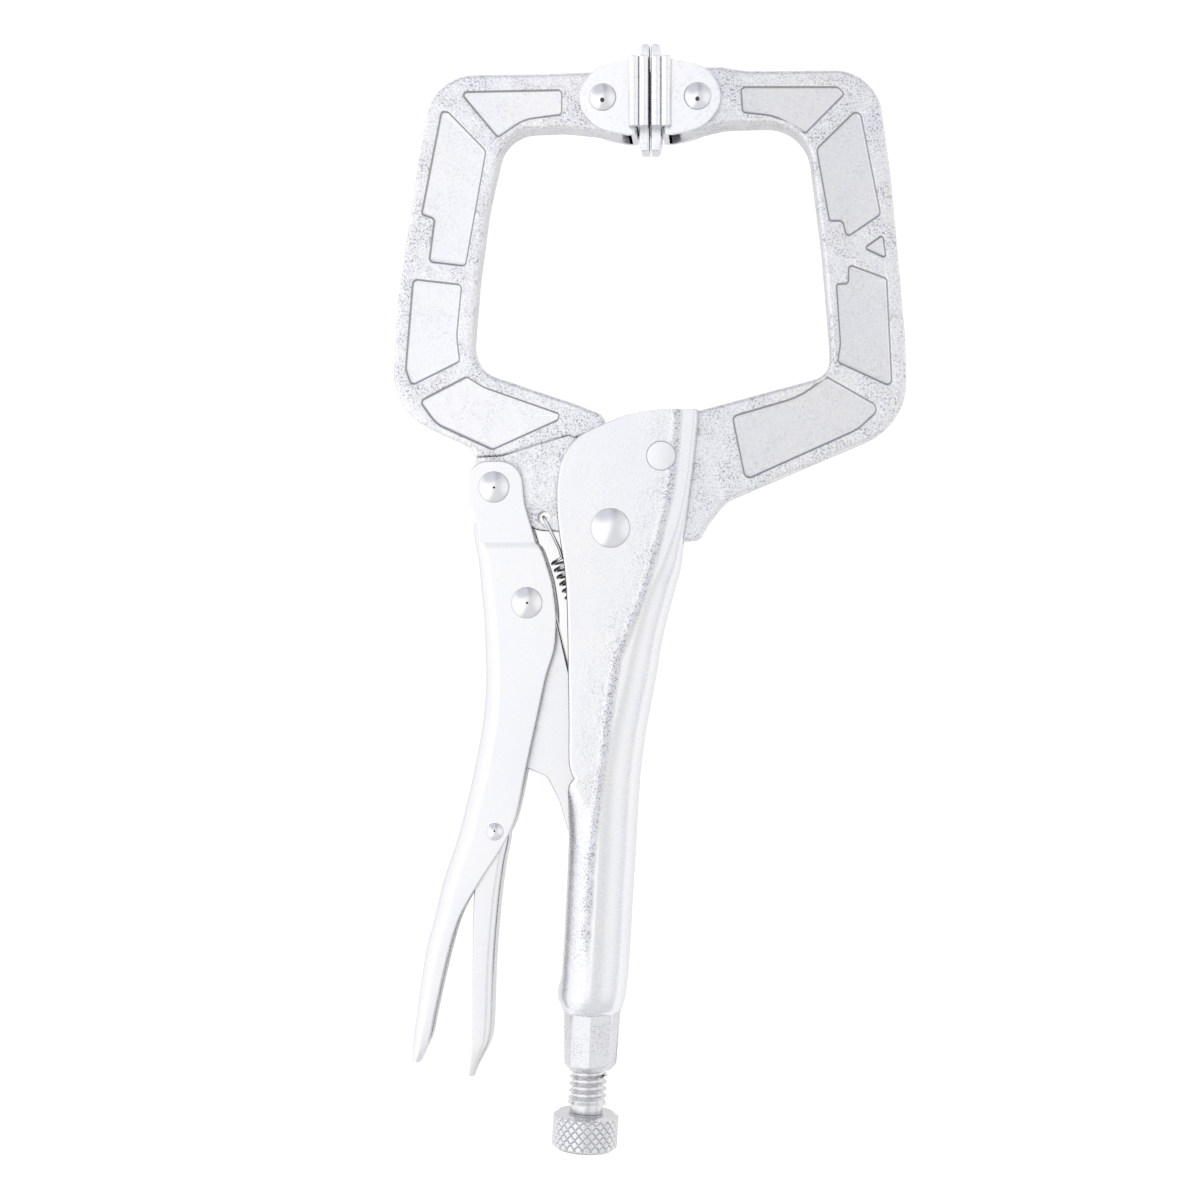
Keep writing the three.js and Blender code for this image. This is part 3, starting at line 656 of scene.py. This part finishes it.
def fixed_jaw():
    arm = [
        (16.5, 114.9, 5), (26.9, 115, 6), (34.2, 113.9, 8), (65.9, 113.8, 12), (69.5, 87.9, 60),
        (73.1, 47.5, 40), (73.7, 25.8, 20), (28.7, 6.7, 8), (24.4, 1.2, 5), (22, -2.9, 2),
        (9.6, -4, 1.6), (9, 3.4, 2), (2.3, 26.4, 1.6), (9.3, 28.3, 6), (22.3, 29.4, 4),
        (54.9, 38.1, 11.5), (54.5, 47.5, 40), (52.6, 69.8, 60), (48.7, 101, 14), (28.4, 100.6, 8),
        (20.9, 98.8, 4), (16.7, 98.3, 3),
    ]
    pockets = [
        [
            (32.2, 109.9, 1.2), (56.4, 109.6, 1.5), (58.3, 107.8, 1), (48.3, 97.8, 1.2),
            (40.9, 102.4, 12), (32.7, 103.3, 1),
        ],
        [
            (61.8, 104.7, 1.5), (67.1, 77.7, 1.5), (58.5, 71.9, 1), (57.5, 76.1, 1),
            (54.2, 76.1, 1), (51, 94.2, 2),
        ],
        [(67.6, 72.9, 0.7), (68.5, 66.6, 0.7), (62.6, 69.4, 0.7)],
        [
            (58.9, 65.6, 1), (68.6, 61.9, 1.2), (69.9, 34.7, 1.2), (56.2, 41.1, 1.2),
            (56.9, 45.7, 8), (55.9, 60.7, 0.8), (58.9, 60.8, 0.8),
        ],
        [
            (30.1, 27.9, 1.5), (46.8, 32.7, 20), (53.6, 37.7, 1.4), (67.3, 29.8, 2),
            (61.3, 24.3, 10), (33.4, 11.8, 1.6),
        ],
    ]
    jaw = Solid()
    jaw.plate(arm, JAW_HALF, JAW_EDGE, pockets)
    jaw.build("fixed_jaw_forging", "fixed_frame", "fixed_jaw", "forged_steel", *fixed_forging)


# ------------------------------------------------------------------ handle and levers


def fixed_handle():
    # y, left edge, back, half width, left corner radius, back radius, half of the slot
    rows = [
        (-3.8, -12.5, 18.1, 7.7, 0, 3.4, OPENED),
        (-9.8, -11.6, 17.4, 7.7, 0, 5.2, OPENED),
        (-15.3, -11.1, 15.9, 7.7, 0, 6.4, OPENED),
        (-28.7, -10.7, 12.6, 7.8, 0, 7.2, OPENED),
        (-36.7, -10.6, 11.3, 8.1, 0, 7.7, OPENED),
        (-50.1, -10.4, 8.8, 8.6, 0, 8.3, OPENED),
        (-57.9, -10.8, 7.7, 8.8, 0.4, 8.6, OPENED),
        (-63.7, -11.2, 7.1, 8.9, 2.6, 8.7, 8),
        (-68.5, -11.3, 6.8, 8.9, 5.6, 8.8, 5.2),
        (-73, -11.4, 6.5, 8.9, 7.6, 8.8, 3.8),
        (-78.9, -11.6, 6.2, 8.9, 8.6, 8.7, 3.7),
        (-93.3, -12.3, 5.3, 8.8, 8.6, 8.6, 3.7),
        (-111.5, -13.3, 4.2, 8.7, 8.4, 8.5, 3.6),
        (-114, -13.5, 3.9, 8.7, 8.4, 8.4, 2.4),
        (-117.2, -13.7, 3.5, 8.6, 8.2, 8.2, 0.4),
        (-120.6, -12.5, 2.5, 7.5, 6.6, 6.6, 0.12),
    ]
    # y, left edge, right edge and half width of the crimped collar
    collar = [
        (-121.4, -12.25, 2.3, 7.25), (-121.7, -12.1, 2.15, 6.95), (-134.4, -12, 1.1, 6.6),
        (-134.7, -11.9, 0.9, 6.5), (-135.9, -10.9, -0.1, 5.6),
    ]
    handle = Solid()
    edge = 0.8
    rings = [channel_ring(row, HANDLE_SHEET, edge) for row in smooth_table(rows, 1.6)]
    rings += [collar_ring(*row) for row in collar]
    handle.loft(rings)
    crimp_top = collar[0][0] + 0.01
    handle.paint(lambda p: p.y < crimp_top)
    # y, left edge, right edge and bend radius of the cheeks, from the top down
    outline = [
        (29.5, 12.4, 21.6, 1.4), (29.2, 9.6, 21.9, 1.4), (28.3, 4.6, 21.9, 1.4), (27.4, 1.8, 21.9, 1.4),
        (25.4, -2.9, 21.7, 1.4), (23.5, -7, 21.5, 1.4), (22.4, -8.6, 21.4, 1.4), (20.3, -10.4, 21.2, 1.4),
        (17.9, -11.8, 20.9, 1.4), (15, -12.8, 20.6, 1.4), (9.1, -13.5, 19.8, 1.5), (4.3, -13.4, 19.2, 2),
        (0, -13, 18.7, 2.7), (-3.8, -12.5, 18.1, 3.4),
    ]
    for sign in (1, -1):
        rings = []
        for row in smooth_table(outline, 1.2):
            rings.append([Vector((x, row[0], sign * z)) for x, z in cheek_section(*row[1:], edge)])
        handle.loft(rings)
    handle.build("handle_shell", "fixed_frame", "fixed_handle", "stamped_steel", stamped, crimped)


def cheek_section(left, right, bend, edge):
    """The section of one cheek above the open part of the handle, with its bend at the right."""
    steps = 4
    section = [(left, CHEEK_INNER + 0.3)]
    for k in range(steps + 1):
        angle = math.pi / 2 * k / steps
        x = left + edge * (1 - math.cos(angle))
        section.append((x, CHEEK_HALF - edge * (1 - math.sin(angle))))
    stop = math.asin(max(bend - HANDLE_SHEET, 0) / bend)
    bend_steps = 8
    for k in range(bend_steps + 1):
        angle = math.pi / 2 + (stop - math.pi / 2) * k / bend_steps
        section.append((right - bend + bend * math.cos(angle), CHEEK_HALF - bend + bend * math.sin(angle)))
    section.append((section[-1][0], CHEEK_INNER))
    section.append((left + 0.3, CHEEK_INNER))
    return section


def collar_ring(y, left, right, half):
    """The crimped end of the handle: an octagon with a seam at its left and a bore for the screw."""
    middle = (left + right) / 2
    reach = (right - left) / 2
    bore = 5.1
    seam = 0.12
    slant = math.sqrt(0.5)
    ridges = [(-1, seam / half), (-slant, slant), (0, 1), (slant, slant), (1, 0)]
    last = len(ridges) - 2
    facet = PATH_POINTS // (len(ridges) - 1)
    inner = []
    outer = []
    for k in range(PATH_POINTS):
        angle = math.pi * k / (PATH_POINTS - 1)
        height = bore * math.sin(angle)
        inner.append(Vector((middle + bore * math.cos(angle), max(height, seam) if k else 0)))
        first = min(k // facet, last)
        share = (k - facet * first) / (facet if first < last else facet - 1)
        x0, z0 = ridges[first]
        x1, z1 = ridges[first + 1]
        outer.append(Vector((middle + reach * (x0 + (x1 - x0) * share), half * (z0 + (z1 - z0) * share))))
    rim_points = 2 * (CORNER_POINTS + 1)
    rim = [inner[-1].lerp(outer[0], (k + 1) / (rim_points + 1)) for k in range(rim_points)]
    upper = [*inner, *rim, *outer]
    lower = [Vector((x, -z)) for x, z in reversed(upper)]
    return [Vector((x, y, z)) for x, z in [*upper, *lower]]


def operating_lever():
    # y, open edge, back, half width, edge radius, back radius, half of the opening
    rows = [
        (1.5, -20.6, -34.6, EAR_HALF - 0.06, 0, 2.4, OPENED),
        (-3.4, -18.9, -34.2, EAR_HALF - 0.06, 0, 2.6, OPENED),
        (-4.5, -17.8, -33.9, LEVER_HALF, 0, 3, OPENED),
        (-8.8, -16.1, -33.2, LEVER_HALF, 0, 3.2, OPENED),
        (-14.6, -14.5, -32.7, LEVER_HALF, 0, 3.4, OPENED),
        (-22.9, -13.6, -31.9, LEVER_HALF, 0, 3.6, OPENED),
        (-28.2, -13.8, -31.7, LEVER_HALF, 0, 3.8, OPENED),
        (-37.5, -16.3, -31.5, LEVER_HALF, 0, 4, OPENED),
        (-45.8, -18.1, -32, LEVER_HALF, 0, 4.2, OPENED),
        (-59.6, -21.1, -34.3, LEVER_HALF, 0, 4.2, OPENED),
        (-72.7, -23.9, -37.3, LEVER_HALF, 0, 4.2, OPENED),
        (-77.5, -26, -38.6, LEVER_HALF, 0, 4.2, OPENED),
        (-89.1, -33.3, -42.4, LEVER_HALF, 0, 4, OPENED),
        (-98, -38.2, -44.5, 6.7, 0, 3.6, OPENED),
        (-105.8, -40.6, -46.5, 6.5, 0, 3.2, OPENED),
        (-121.9, -44.3, -48.9, 6, 0, 2.6, OPENED),
        (-128.7, -45.7, -49.8, 5.4, 0, 2.2, OPENED),
        (-131.5, -47, -50.1, 4.8, 0, 2, OPENED),
        (-134.1, -48.1, -50.3, 3.6, 0, 1.4, OPENED),
    ]
    ear = [
        (-35.9, 16.9, 6.3), (-22.5, 16.9, 6.3), (-21.5, 6.2, 10), (-18.4, -4.5, 0.8), (-33, -4.5, 0.8),
        (-33.4, 1.6, 2), (-35.8, 6.4, 3),
    ]
    lever = Solid()
    lever.loft([channel_ring(row, LEVER_SHEET) for row in smooth_table(rows, 1.8)])
    lever.cheek(ear, EAR_HALF - LEVER_SHEET, EAR_HALF, 0.45)
    lever.build("lever_shell", "lever", "operating_lever", "stamped_steel", smooth_sheet)


def release_lever():
    rows = [
        (-64.8, -29.2, -26, RELEASE_HALF, 0, 1.4, OPENED),
        (-68, -31.2, -25.4, RELEASE_HALF, 0, 1.6, OPENED),
        (-76.4, -32.9, -25.4, RELEASE_HALF, 0, 1.8, OPENED),
        (-84, -33.8, -26.7, RELEASE_HALF, 0, 2, OPENED),
        (-94.4, -34.5, -28, RELEASE_HALF, 0, 2.2, OPENED),
        (-109.9, -34.7, -29.2, RELEASE_HALF, 0, 2.2, OPENED),
        (-125.6, -34.8, -29.8, RELEASE_HALF, 0, 2.2, OPENED),
        (-129.5, -35, -30.6, RELEASE_HALF, 0, 2, OPENED),
        (-132.8, -35.3, -32.2, 4.2, 0, 1.8, OPENED),
        (-135.2, -35.6, -33.5, 3.9, 0, 1.2, OPENED),
        (-137.5, -36, -34.4, 3.4, 0, 0.8, OPENED),
    ]
    lever = Solid()
    lever.loft([channel_ring(row, RELEASE_SHEET, 0.2) for row in smooth_table(rows, 1.6)])
    lever.build("release_shell", "release", "release_lever", "stamped_steel", smooth_sheet)


def toggle_link():
    outline = [
        (-26.4, -13.1, 5.2), (-15.6, -13.3, 5.2), (-14.2, -21, 6), (-10.9, -35, 40), (-5.5, -60, 20),
        (0.9, -78.4, 3.4), (0.4, -83.8, 3.2), (-6, -84, 3.2), (-11, -75.5, 4), (-13.1, -68.2, 6),
        (-16.2, -62.2, 2.5), (-22, -59.9, 1.2), (-25.4, -40, 20),
    ]
    bar = Solid()
    bar.plate(outline, LINK_HALF, 0.4)
    bar.build("link_bar", "link", "toggle_link", "stamped_steel", smooth_sheet)


# ------------------------------------------------------------------ rivets


def rivet(name, centre, shaft, head, height, grip, body, node, mark=None, mark_size=0.55):
    """A domed rivet; mark is where, from its centre, the forming tool left a small dent, coloured near black
    as painted shade.
    """
    seat = grip + 0.02
    rim = 0.36 * height
    crown = head - 0.3
    curve = (crown * crown + (height - rim) ** 2) / (2 * (height - rim))
    turn = angles(RIVET_POINTS)

    def dome(point, sink=0.0):
        rise = math.sqrt(max(curve * curve - point.length_squared, 0)) - curve + height - rim
        return (centre[0] + point.x, centre[1] + point.y, seat + rim + rise - sink)

    def flat(radius, z):
        return [(centre[0] + radius * math.cos(a), centre[1] + radius * math.sin(a), z) for a in turn]

    upper = [
        flat(shaft, seat), flat(head - 0.1, seat), flat(head, seat + 0.1),
        flat(head, seat + 0.4 * rim), flat(head - 0.1, seat + 0.75 * rim),
    ]
    offset = Vector(mark or (0, 0))
    least = mark_size if mark else 0.02
    steps = 12
    for k in range(steps + 1):
        t = math.sin(math.pi / 2 * k / steps)
        radius = crown + (least - crown) * t
        upper.append([dome(offset * t + Vector((math.cos(a), math.sin(a))) * radius) for a in turn])
    plain = len(upper)
    if mark:
        for share, sink in ((0.78, 0.12), (0.4, 0.24), (0.03, 0.28)):
            size = mark_size * share
            upper.append([dome(offset + Vector((math.cos(a), math.sin(a))) * size, sink) for a in turn])
    lower = [[(x, y, -z) for x, y, z in ring] for ring in reversed(upper)]
    solid = Solid()
    made = [solid.ring(ring) for ring in lower + upper]
    # The dent's faces get the near-black grey: painted shade and dark reflection.
    dented = len(upper) - plain
    for i, (first, second) in enumerate(zip(made, made[1:])):
        in_dent = i < dented or i >= len(made) - 1 - dented
        solid.bridge(first, second, 1 if in_dent else 0)
    solid.cap(made[0], made[-1])
    solid.build(name, body, node, "rivet_steel", polished, dimple_painted_shade, sharp=math.radians(50))


def rivets():
    frame_body = "fixed_frame"
    jaw_body = "movable_jaw_arm"
    # name, centre, shaft radius, head radius, head height, grip, body, node, dent and dent size
    rows = [
        ("main_rivet", MAIN_PIVOT, 3.9, 4.9, 1.65, CHEEK_HALF, frame_body, "main_pivot_rivet"),
        ("lever_rivet", LEVER_PIVOT, 3, 3.9, 1.6, EAR_HALF, jaw_body, "lever_pivot_rivet", (0.2, -0.2), 0.3),
        ("link_rivet", LINK_PIVOT, 3, 3.9, 1.6, LEVER_HALF, "lever", "link_rivet", (0.2, 0), 0.3),
        (
            "release_rivet", RELEASE_PIVOT, 1.5, 2.15, 1.1, LEVER_HALF, "lever", "release_rivet",
            (0, 0.3), 0.25,
        ),
    ]
    for name, *rest in rows:
        rivet(f"{name}_head", *rest)
    for prefix, centre, body in (("movable", MOVABLE_PAD, jaw_body), ("fixed", FIXED_PAD, frame_body)):
        node = f"{prefix}_pad_rivet"
        rivet(f"{node}_head", centre, 2.6, 3.4, 1.5, PAD_EAR_HALF, body, node, (0, -1.0))


def flush_rivet():
    """The rivet of the fixed jaw: a flat head that stands hardly proud, in a ring of its seat painted dark as
    shade.
    """
    head = 3.5
    seat = 3.75
    top = CHEEK_HALF + 0.12
    profile = [(0, top), (head - 0.15, top), (head, top - 0.1), (seat - 0.03, top - 0.1), (seat, top - 0.3)]
    mirrored = [(r, -z) for r, z in reversed(profile)]
    flush = Solid()
    flush.lathe(profile + mirrored, lambda p: p + Vector((*JAW_RIVET, 0)), RIVET_POINTS)
    middle = Vector(JAW_RIVET)
    # Painted shade: the seat ring round the head gets the dark panel-wall grey.
    flush.paint(lambda p: (p.xy - middle).length > head - 0.05)
    flush.build("flush_rivet", "fixed_frame", "fixed_jaw_rivet", "forged_steel", smooth_sheet, shaded_panel_wall)


# ------------------------------------------------------------------ screw and knob


def screw_point(radius, angle, height):
    """A point of the drawing, from its place round the screw's axis and outwards along it."""
    sideways = Vector((math.cos(SCREW_LEAN), -math.sin(SCREW_LEAN), 0))
    outwards = Vector((-math.sin(SCREW_LEAN), -math.cos(SCREW_LEAN), 0))
    across = sideways * (radius * math.cos(angle)) + Vector((0, 0, radius * math.sin(angle)))
    return Vector((*SCREW_TOP, 0)) + across + outwards * height


def screw_ring(radius, height, count):
    return [screw_point(radius, angle, height) for angle in angles(count)]


def adjusting_screw():
    around = 48
    rows_per_turn = 12
    depth = 0.78
    flank_slope = 3.4
    root = SCREW_RADIUS - 0.3
    neck = 4.05
    start = 27
    end = THREAD_LENGTH
    rings = [
        screw_ring(radius, height, around)
        for radius, height in ((0.01, 0), (2.2, 0), (root, 1.6), (root, start))
    ]
    rows = int((end - start) / THREAD_PITCH * rows_per_turn)
    for row in range(rows + 1):
        height = start + (end - start) * row / rows
        fade = min(1, (end - height) / THREAD_PITCH, (height - start) / THREAD_PITCH + 0.1)
        points = []
        for k, angle in enumerate(angles(around)):
            phase = (height / THREAD_PITCH - k / around) % 1
            flank = min(1, max(0, abs(phase - 0.5) * flank_slope - 0.08))
            points.append(screw_point(SCREW_RADIUS - depth * fade * flank, angle, height))
        rings.append(points)
    shoulder = end + SHOULDER_LENGTH
    for radius, height in ((neck, end + 0.1), (neck, shoulder + 0.3), (0.01, shoulder + 0.35)):
        rings.append(screw_ring(radius, height, around))
    screw = Solid()
    screw.loft(rings)
    screw.build("threaded_shaft", "screw", "adjusting_screw", "screw_steel", turned, sharp=math.radians(60))


def adjusting_knob():
    grooves = 24
    around = grooves * 12
    rows = 72
    depth = 0.45
    steepness = 2.8
    slant = 0.91
    chamfer = 0.85
    near = THREAD_LENGTH + SHOULDER_LENGTH + 0.3
    far = near + KNOB_LENGTH
    face = KNOB_RADIUS - chamfer - 0.3
    shoulder = KNOB_RADIUS - depth - 0.15
    knurl = KNOB_LENGTH - 2 * chamfer
    start = [
        (0.01, near + 0.3), (4.2, near + 0.3), (4.6, near), (face, near), (shoulder, near + 0.75 * chamfer),
    ]
    end = [(shoulder, far - 0.75 * chamfer), (face, far), (0.01, far)]
    rings = [screw_ring(radius, height, around) for radius, height in start]
    for row in range(rows + 1):
        height = near + chamfer + knurl * row / rows
        lean = slant * (height - near - chamfer) / KNOB_RADIUS
        points = []
        for angle in angles(around):
            one = abs(math.sin((angle + lean) * grooves / 2))
            two = abs(math.sin((angle - lean) * grooves / 2))
            rise = min(1, steepness * one) * min(1, steepness * two)
            points.append(screw_point(KNOB_RADIUS - depth * (1 - rise), angle, height))
        rings.append(points)
    rings += [screw_ring(radius, height, around) for radius, height in end]
    knob = Solid()
    knob.loft(rings)
    knob.build("knurled_knob", "knob", "adjusting_knob", "screw_steel", turned, sharp=math.radians(60))


# ------------------------------------------------------------------ return spring


def return_spring():
    top = Vector((-12.4, -7.3, 0))
    end = Vector((-1.6, -35.1, 0))
    radius = 2.95
    thickness = 0.4
    pitch = 1.85
    along = (end - top).normalized()
    side = along.cross(Vector((0, 0, 1)))
    length = (end - top).length
    turns = round(length / pitch)
    per_turn = 20
    hole = Vector((*SPRING_HOLE, 0))
    route = [hole + Vector((0, 0, z)) for z in (-LOBE_HALF - 0.6, 0, LOBE_HALF)]
    route += [hole + Vector((0.9, -1.6, LOBE_HALF + 1.4)), Vector((-13.2, -4.6, 3.8))]
    coil_first = len(route)
    for k in range(turns * per_turn + 1):
        angle = 2 * math.pi * k / per_turn
        point = top + along * (length * k / (turns * per_turn))
        point += side * (radius * math.sin(angle)) + Vector((0, 0, radius * math.cos(angle)))
        route.append(point)
    coil_last = len(route)
    anchor = Vector((*SPRING_ANCHOR, 0))
    route += [Vector((-2.2, -38.4, 2.2)), anchor + Vector((0, 0, 1.2)), anchor + Vector((0, 0, -1.6))]
    steps = 8
    path = soften(route[:coil_first + 1], steps)
    path += route[coil_first + 1:coil_last - 1]
    path += soften(route[coil_last - 1:], steps)
    spring = Solid()
    spring.loft(sweep(path, thickness, 10))
    piece = spring.build("spring_wire", None, "return_spring", "spring_wire", wire, sharp=math.radians(80))
    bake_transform(piece)


def soften(points, steps):
    """A Catmull-Rom curve through a few points."""
    ends = [2 * points[0] - points[1], *points, 2 * points[-1] - points[-2]]
    curve = []
    for a, b, c, d in zip(ends, ends[1:], ends[2:], ends[3:]):
        for k in range(steps):
            t = k / steps
            curve.append(0.5 * (2 * b + (c - a) * t + (2 * a - 5 * b + 4 * c - d) * t * t
                                + (3 * b - a - 3 * c + d) * t ** 3))
    return [*curve, points[-1]]


def sweep(path, radius, count):
    """Round sections along a path, without twist."""
    rings = []
    turn = angles(count)
    normal = None
    for i, point in enumerate(path):
        ahead = path[min(i + 1, len(path) - 1)] - path[max(i - 1, 0)]
        tangent = ahead.normalized()
        normal = tangent.orthogonal() if normal is None else normal - tangent * normal.dot(tangent)
        normal.normalize()
        other = tangent.cross(normal)
        rings.append([point + (normal * math.cos(a) + other * math.sin(a)) * radius for a in turn])
    return rings


# ------------------------------------------------------------------ swivel pads


def swivel_pad(prefix, centre, way):
    """A U-shaped bracket and a rolled face plate; way is 1 if the pad faces +X and -1 if -X."""
    body = f"{prefix}_pad"

    def placed(ring):
        return [Vector((centre[0] + way * p.x, centre[1] + p.y, p.z)) for p in ring]

    bracket = Solid()
    pad_bracket_body(bracket, placed)
    bracket.build(f"{prefix}_bracket_shell", body, f"{prefix}_pad_bracket", "stamped_steel", pad_sheet)
    plate = Solid()
    pad_plate_body(plate, placed)
    # The clamping face gets the near-black grey: painted shade in the slit between the pads.
    plate.paint(lambda p: abs((p.x - centre[0]) * way - PAD_FACE) < 0.02)
    plate.build(
        f"{prefix}_plate_shell", body, f"{prefix}_pad_plate", "stamped_steel", pad_sheet, clamp_face_painted_shade
    )


def pad_bracket_body(bracket, placed):
    """Two rounded ears that flare towards the plate, joined by a flat base."""
    front = PAD_BASE + PAD_SHEET
    # distance from the middle and edge of the ear there
    ear = [(9.3, 5.8), (8.7, 2.9), (8.1, 0.5), (7.1, -1.7), (5.4, -3.6), (2.7, -5.3)]
    edges = [*ear, (0, -5.85), *[(-y, x) for y, x in reversed(ear)]]
    rows = [(y, x, front, PAD_EAR_HALF, 0, 1.2, OPENED) for y, x in edges]
    bracket.loft([placed(channel_ring(row, PAD_SHEET, 0.4)) for row in smooth_table(rows, 0.5)])


def pad_plate_section():
    """Half of the plate's section: back over the bracket, then two rolled ridges up to its face."""
    ridge = 0.9
    shelf = PAD_PLATE_HALF - ridge
    middle = (PAD_WRAP + PAD_FACE) / 2
    steps = 10
    inside = PAD_EAR_HALF + 0.2
    points = [Vector((PAD_BASE + PAD_SHEET + 0.1, inside)), Vector((PAD_WRAP, inside))]
    for start, end in ((PAD_WRAP, middle), (middle, PAD_FACE)):
        for k in range(0 if start == PAD_WRAP else 1, steps + 1):
            angle = math.pi * k / steps
            x = (start + end) / 2 - (end - start) / 2 * math.cos(angle)
            points.append(Vector((x, shelf + ridge * math.sin(angle))))
    return points


def pad_plate_body(plate, placed):
    """The face plate, rolled into two ridges at the front and back of the tool, and its tongue."""
    upper = pad_plate_section()
    section = [Vector((p.x, -p.y)) for p in upper] + upper[::-1]
    low, high = PAD_ENDS
    # y, and how far the rounded ends draw the section in there
    levels = [
        (low, 0.3), (low + 0.1, 0.1), (low + 0.35, 0), (high - 0.35, 0), (high - 0.1, 0.1), (high, 0.3),
    ]
    plate.loft([placed([Vector((p.x, y, p.y)) for p in inset(section, drop)]) for y, drop in levels])
    back = PAD_BASE + PAD_SHEET
    low, high = TONGUE_ENDS
    # y, back edge and half width of the tongue, which tapers towards its ends
    tongue = [
        (high, back + 1.3, 3.7), (high - 0.3, back + 1, 4.1), (high - 3, back + 0.4, TONGUE_HALF),
        (low + 3, back + 0.4, TONGUE_HALF), (low + 0.3, back + 1, 4.1), (low, back + 1.3, 3.7),
    ]
    rings = []
    front = PAD_FACE + 0.05
    for y, edge, wide in tongue:
        strip = rounded([(edge, -wide, 0.5), (front, -wide, 0.5), (front, wide, 0.5), (edge, wide, 0.5)])
        rings.append(placed([Vector((p.x, y, p.y)) for p in strip]))
    plate.loft(rings)


# ------------------------------------------------------------------ stage


def studio():
    """White paper under the tool, and the room round it."""
    scene = bpy.context.scene
    scene.view_settings.view_transform = "Standard"
    scene.view_settings.look = "None"
    floor_mesh = bpy.data.meshes.new("floor")
    size = 4.0
    corners = [(-size, -size, 0), (size, -size, 0), (size, size, 0), (-size, size, 0)]
    floor_mesh.from_pydata(corners, [], [(0, 1, 2, 3)])
    floor = bpy.data.objects.new("floor", floor_mesh)
    floor.location.z = cad_low.z - 0.0002
    scene.collection.objects.link(floor)
    paper = bpy.data.materials.new("white paper")
    paper.use_nodes = True
    shader = paper.node_tree.nodes["Principled BSDF"]
    shader.inputs["Base Color"].default_value = (0.4, 0.4, 0.4, 1)
    shader.inputs["Roughness"].default_value = 0.9
    shader.inputs["Specular IOR Level"].default_value = 0.0
    shader.inputs["Emission Color"].default_value = (1, 1, 1, 1)
    shader.inputs["Emission Strength"].default_value = 0.8
    floor_mesh.materials.append(paper)
    studio_walls()


def studio_walls():
    """A bright room, lavender grey low down.

    It has a grey board beyond the jaws, a window on the left and a white screen on the right.
    """
    world = bpy.data.worlds.new("studio")
    bpy.context.scene.world = world
    world.use_nodes = True
    tree = world.node_tree
    direction = tree.nodes.new("ShaderNodeTexCoord").outputs["Generated"]

    def towards(aim):
        node = tree.nodes.new("ShaderNodeVectorMath")
        node.operation = "DOT_PRODUCT"
        node.inputs[1].default_value = Vector(aim).normalized()
        link(tree, direction, node.inputs[0])
        return node.outputs["Value"]

    height = ramp(tree, towards((0, 0, 1)), 0.0, 0.7, (0.77, 0.775, 0.81), (0.90, 0.905, 0.92))
    board = ramp(tree, towards((-0.25, 0.8, 0.55)), 0.74, 0.92, (1.0, 1.0, 1.0), (0.62, 0.62, 0.67))
    window = ramp(tree, towards((-1, 0.25, 0.35)), 0.24, 0.44, (0.8, 0.8, 0.8), (1.2, 1.2, 1.2))
    screen = ramp(tree, towards((1, 0, 0.7)), 0.8, 0.97, (1.0, 1.0, 1.0), (1.3, 1.3, 1.3))
    glow = height
    for part in (board, window, screen):
        glow = multiplied(tree, 1.0, glow, part)
    link(tree, glow, tree.nodes["Background"].inputs["Color"])
    tree.nodes["Background"].inputs["Strength"].default_value = 1.16


def camera():
    """Nearly straight above, a little to the right, with the jaws at the top of the frame."""
    middle = at(-3, -17.9, 0)
    height = 0.56
    sideways = 0.03
    data = bpy.data.cameras.new("camera")
    data.lens = 66.8
    eye = bpy.data.objects.new("camera", data)
    eye.location = middle + Vector((sideways, 0, height))
    eye.rotation_euler = (0, math.atan2(sideways, height), 0)
    bpy.context.scene.collection.objects.link(eye)
    bpy.context.scene.camera = eye


camera()
studio()
movable_jaw()
fixed_jaw()
fixed_handle()
operating_lever()
release_lever()
toggle_link()
rivets()
flush_rivet()
adjusting_screw()
adjusting_knob()
return_spring()
swivel_pad("movable", MOVABLE_PAD, 1)
swivel_pad("fixed", FIXED_PAD, -1)
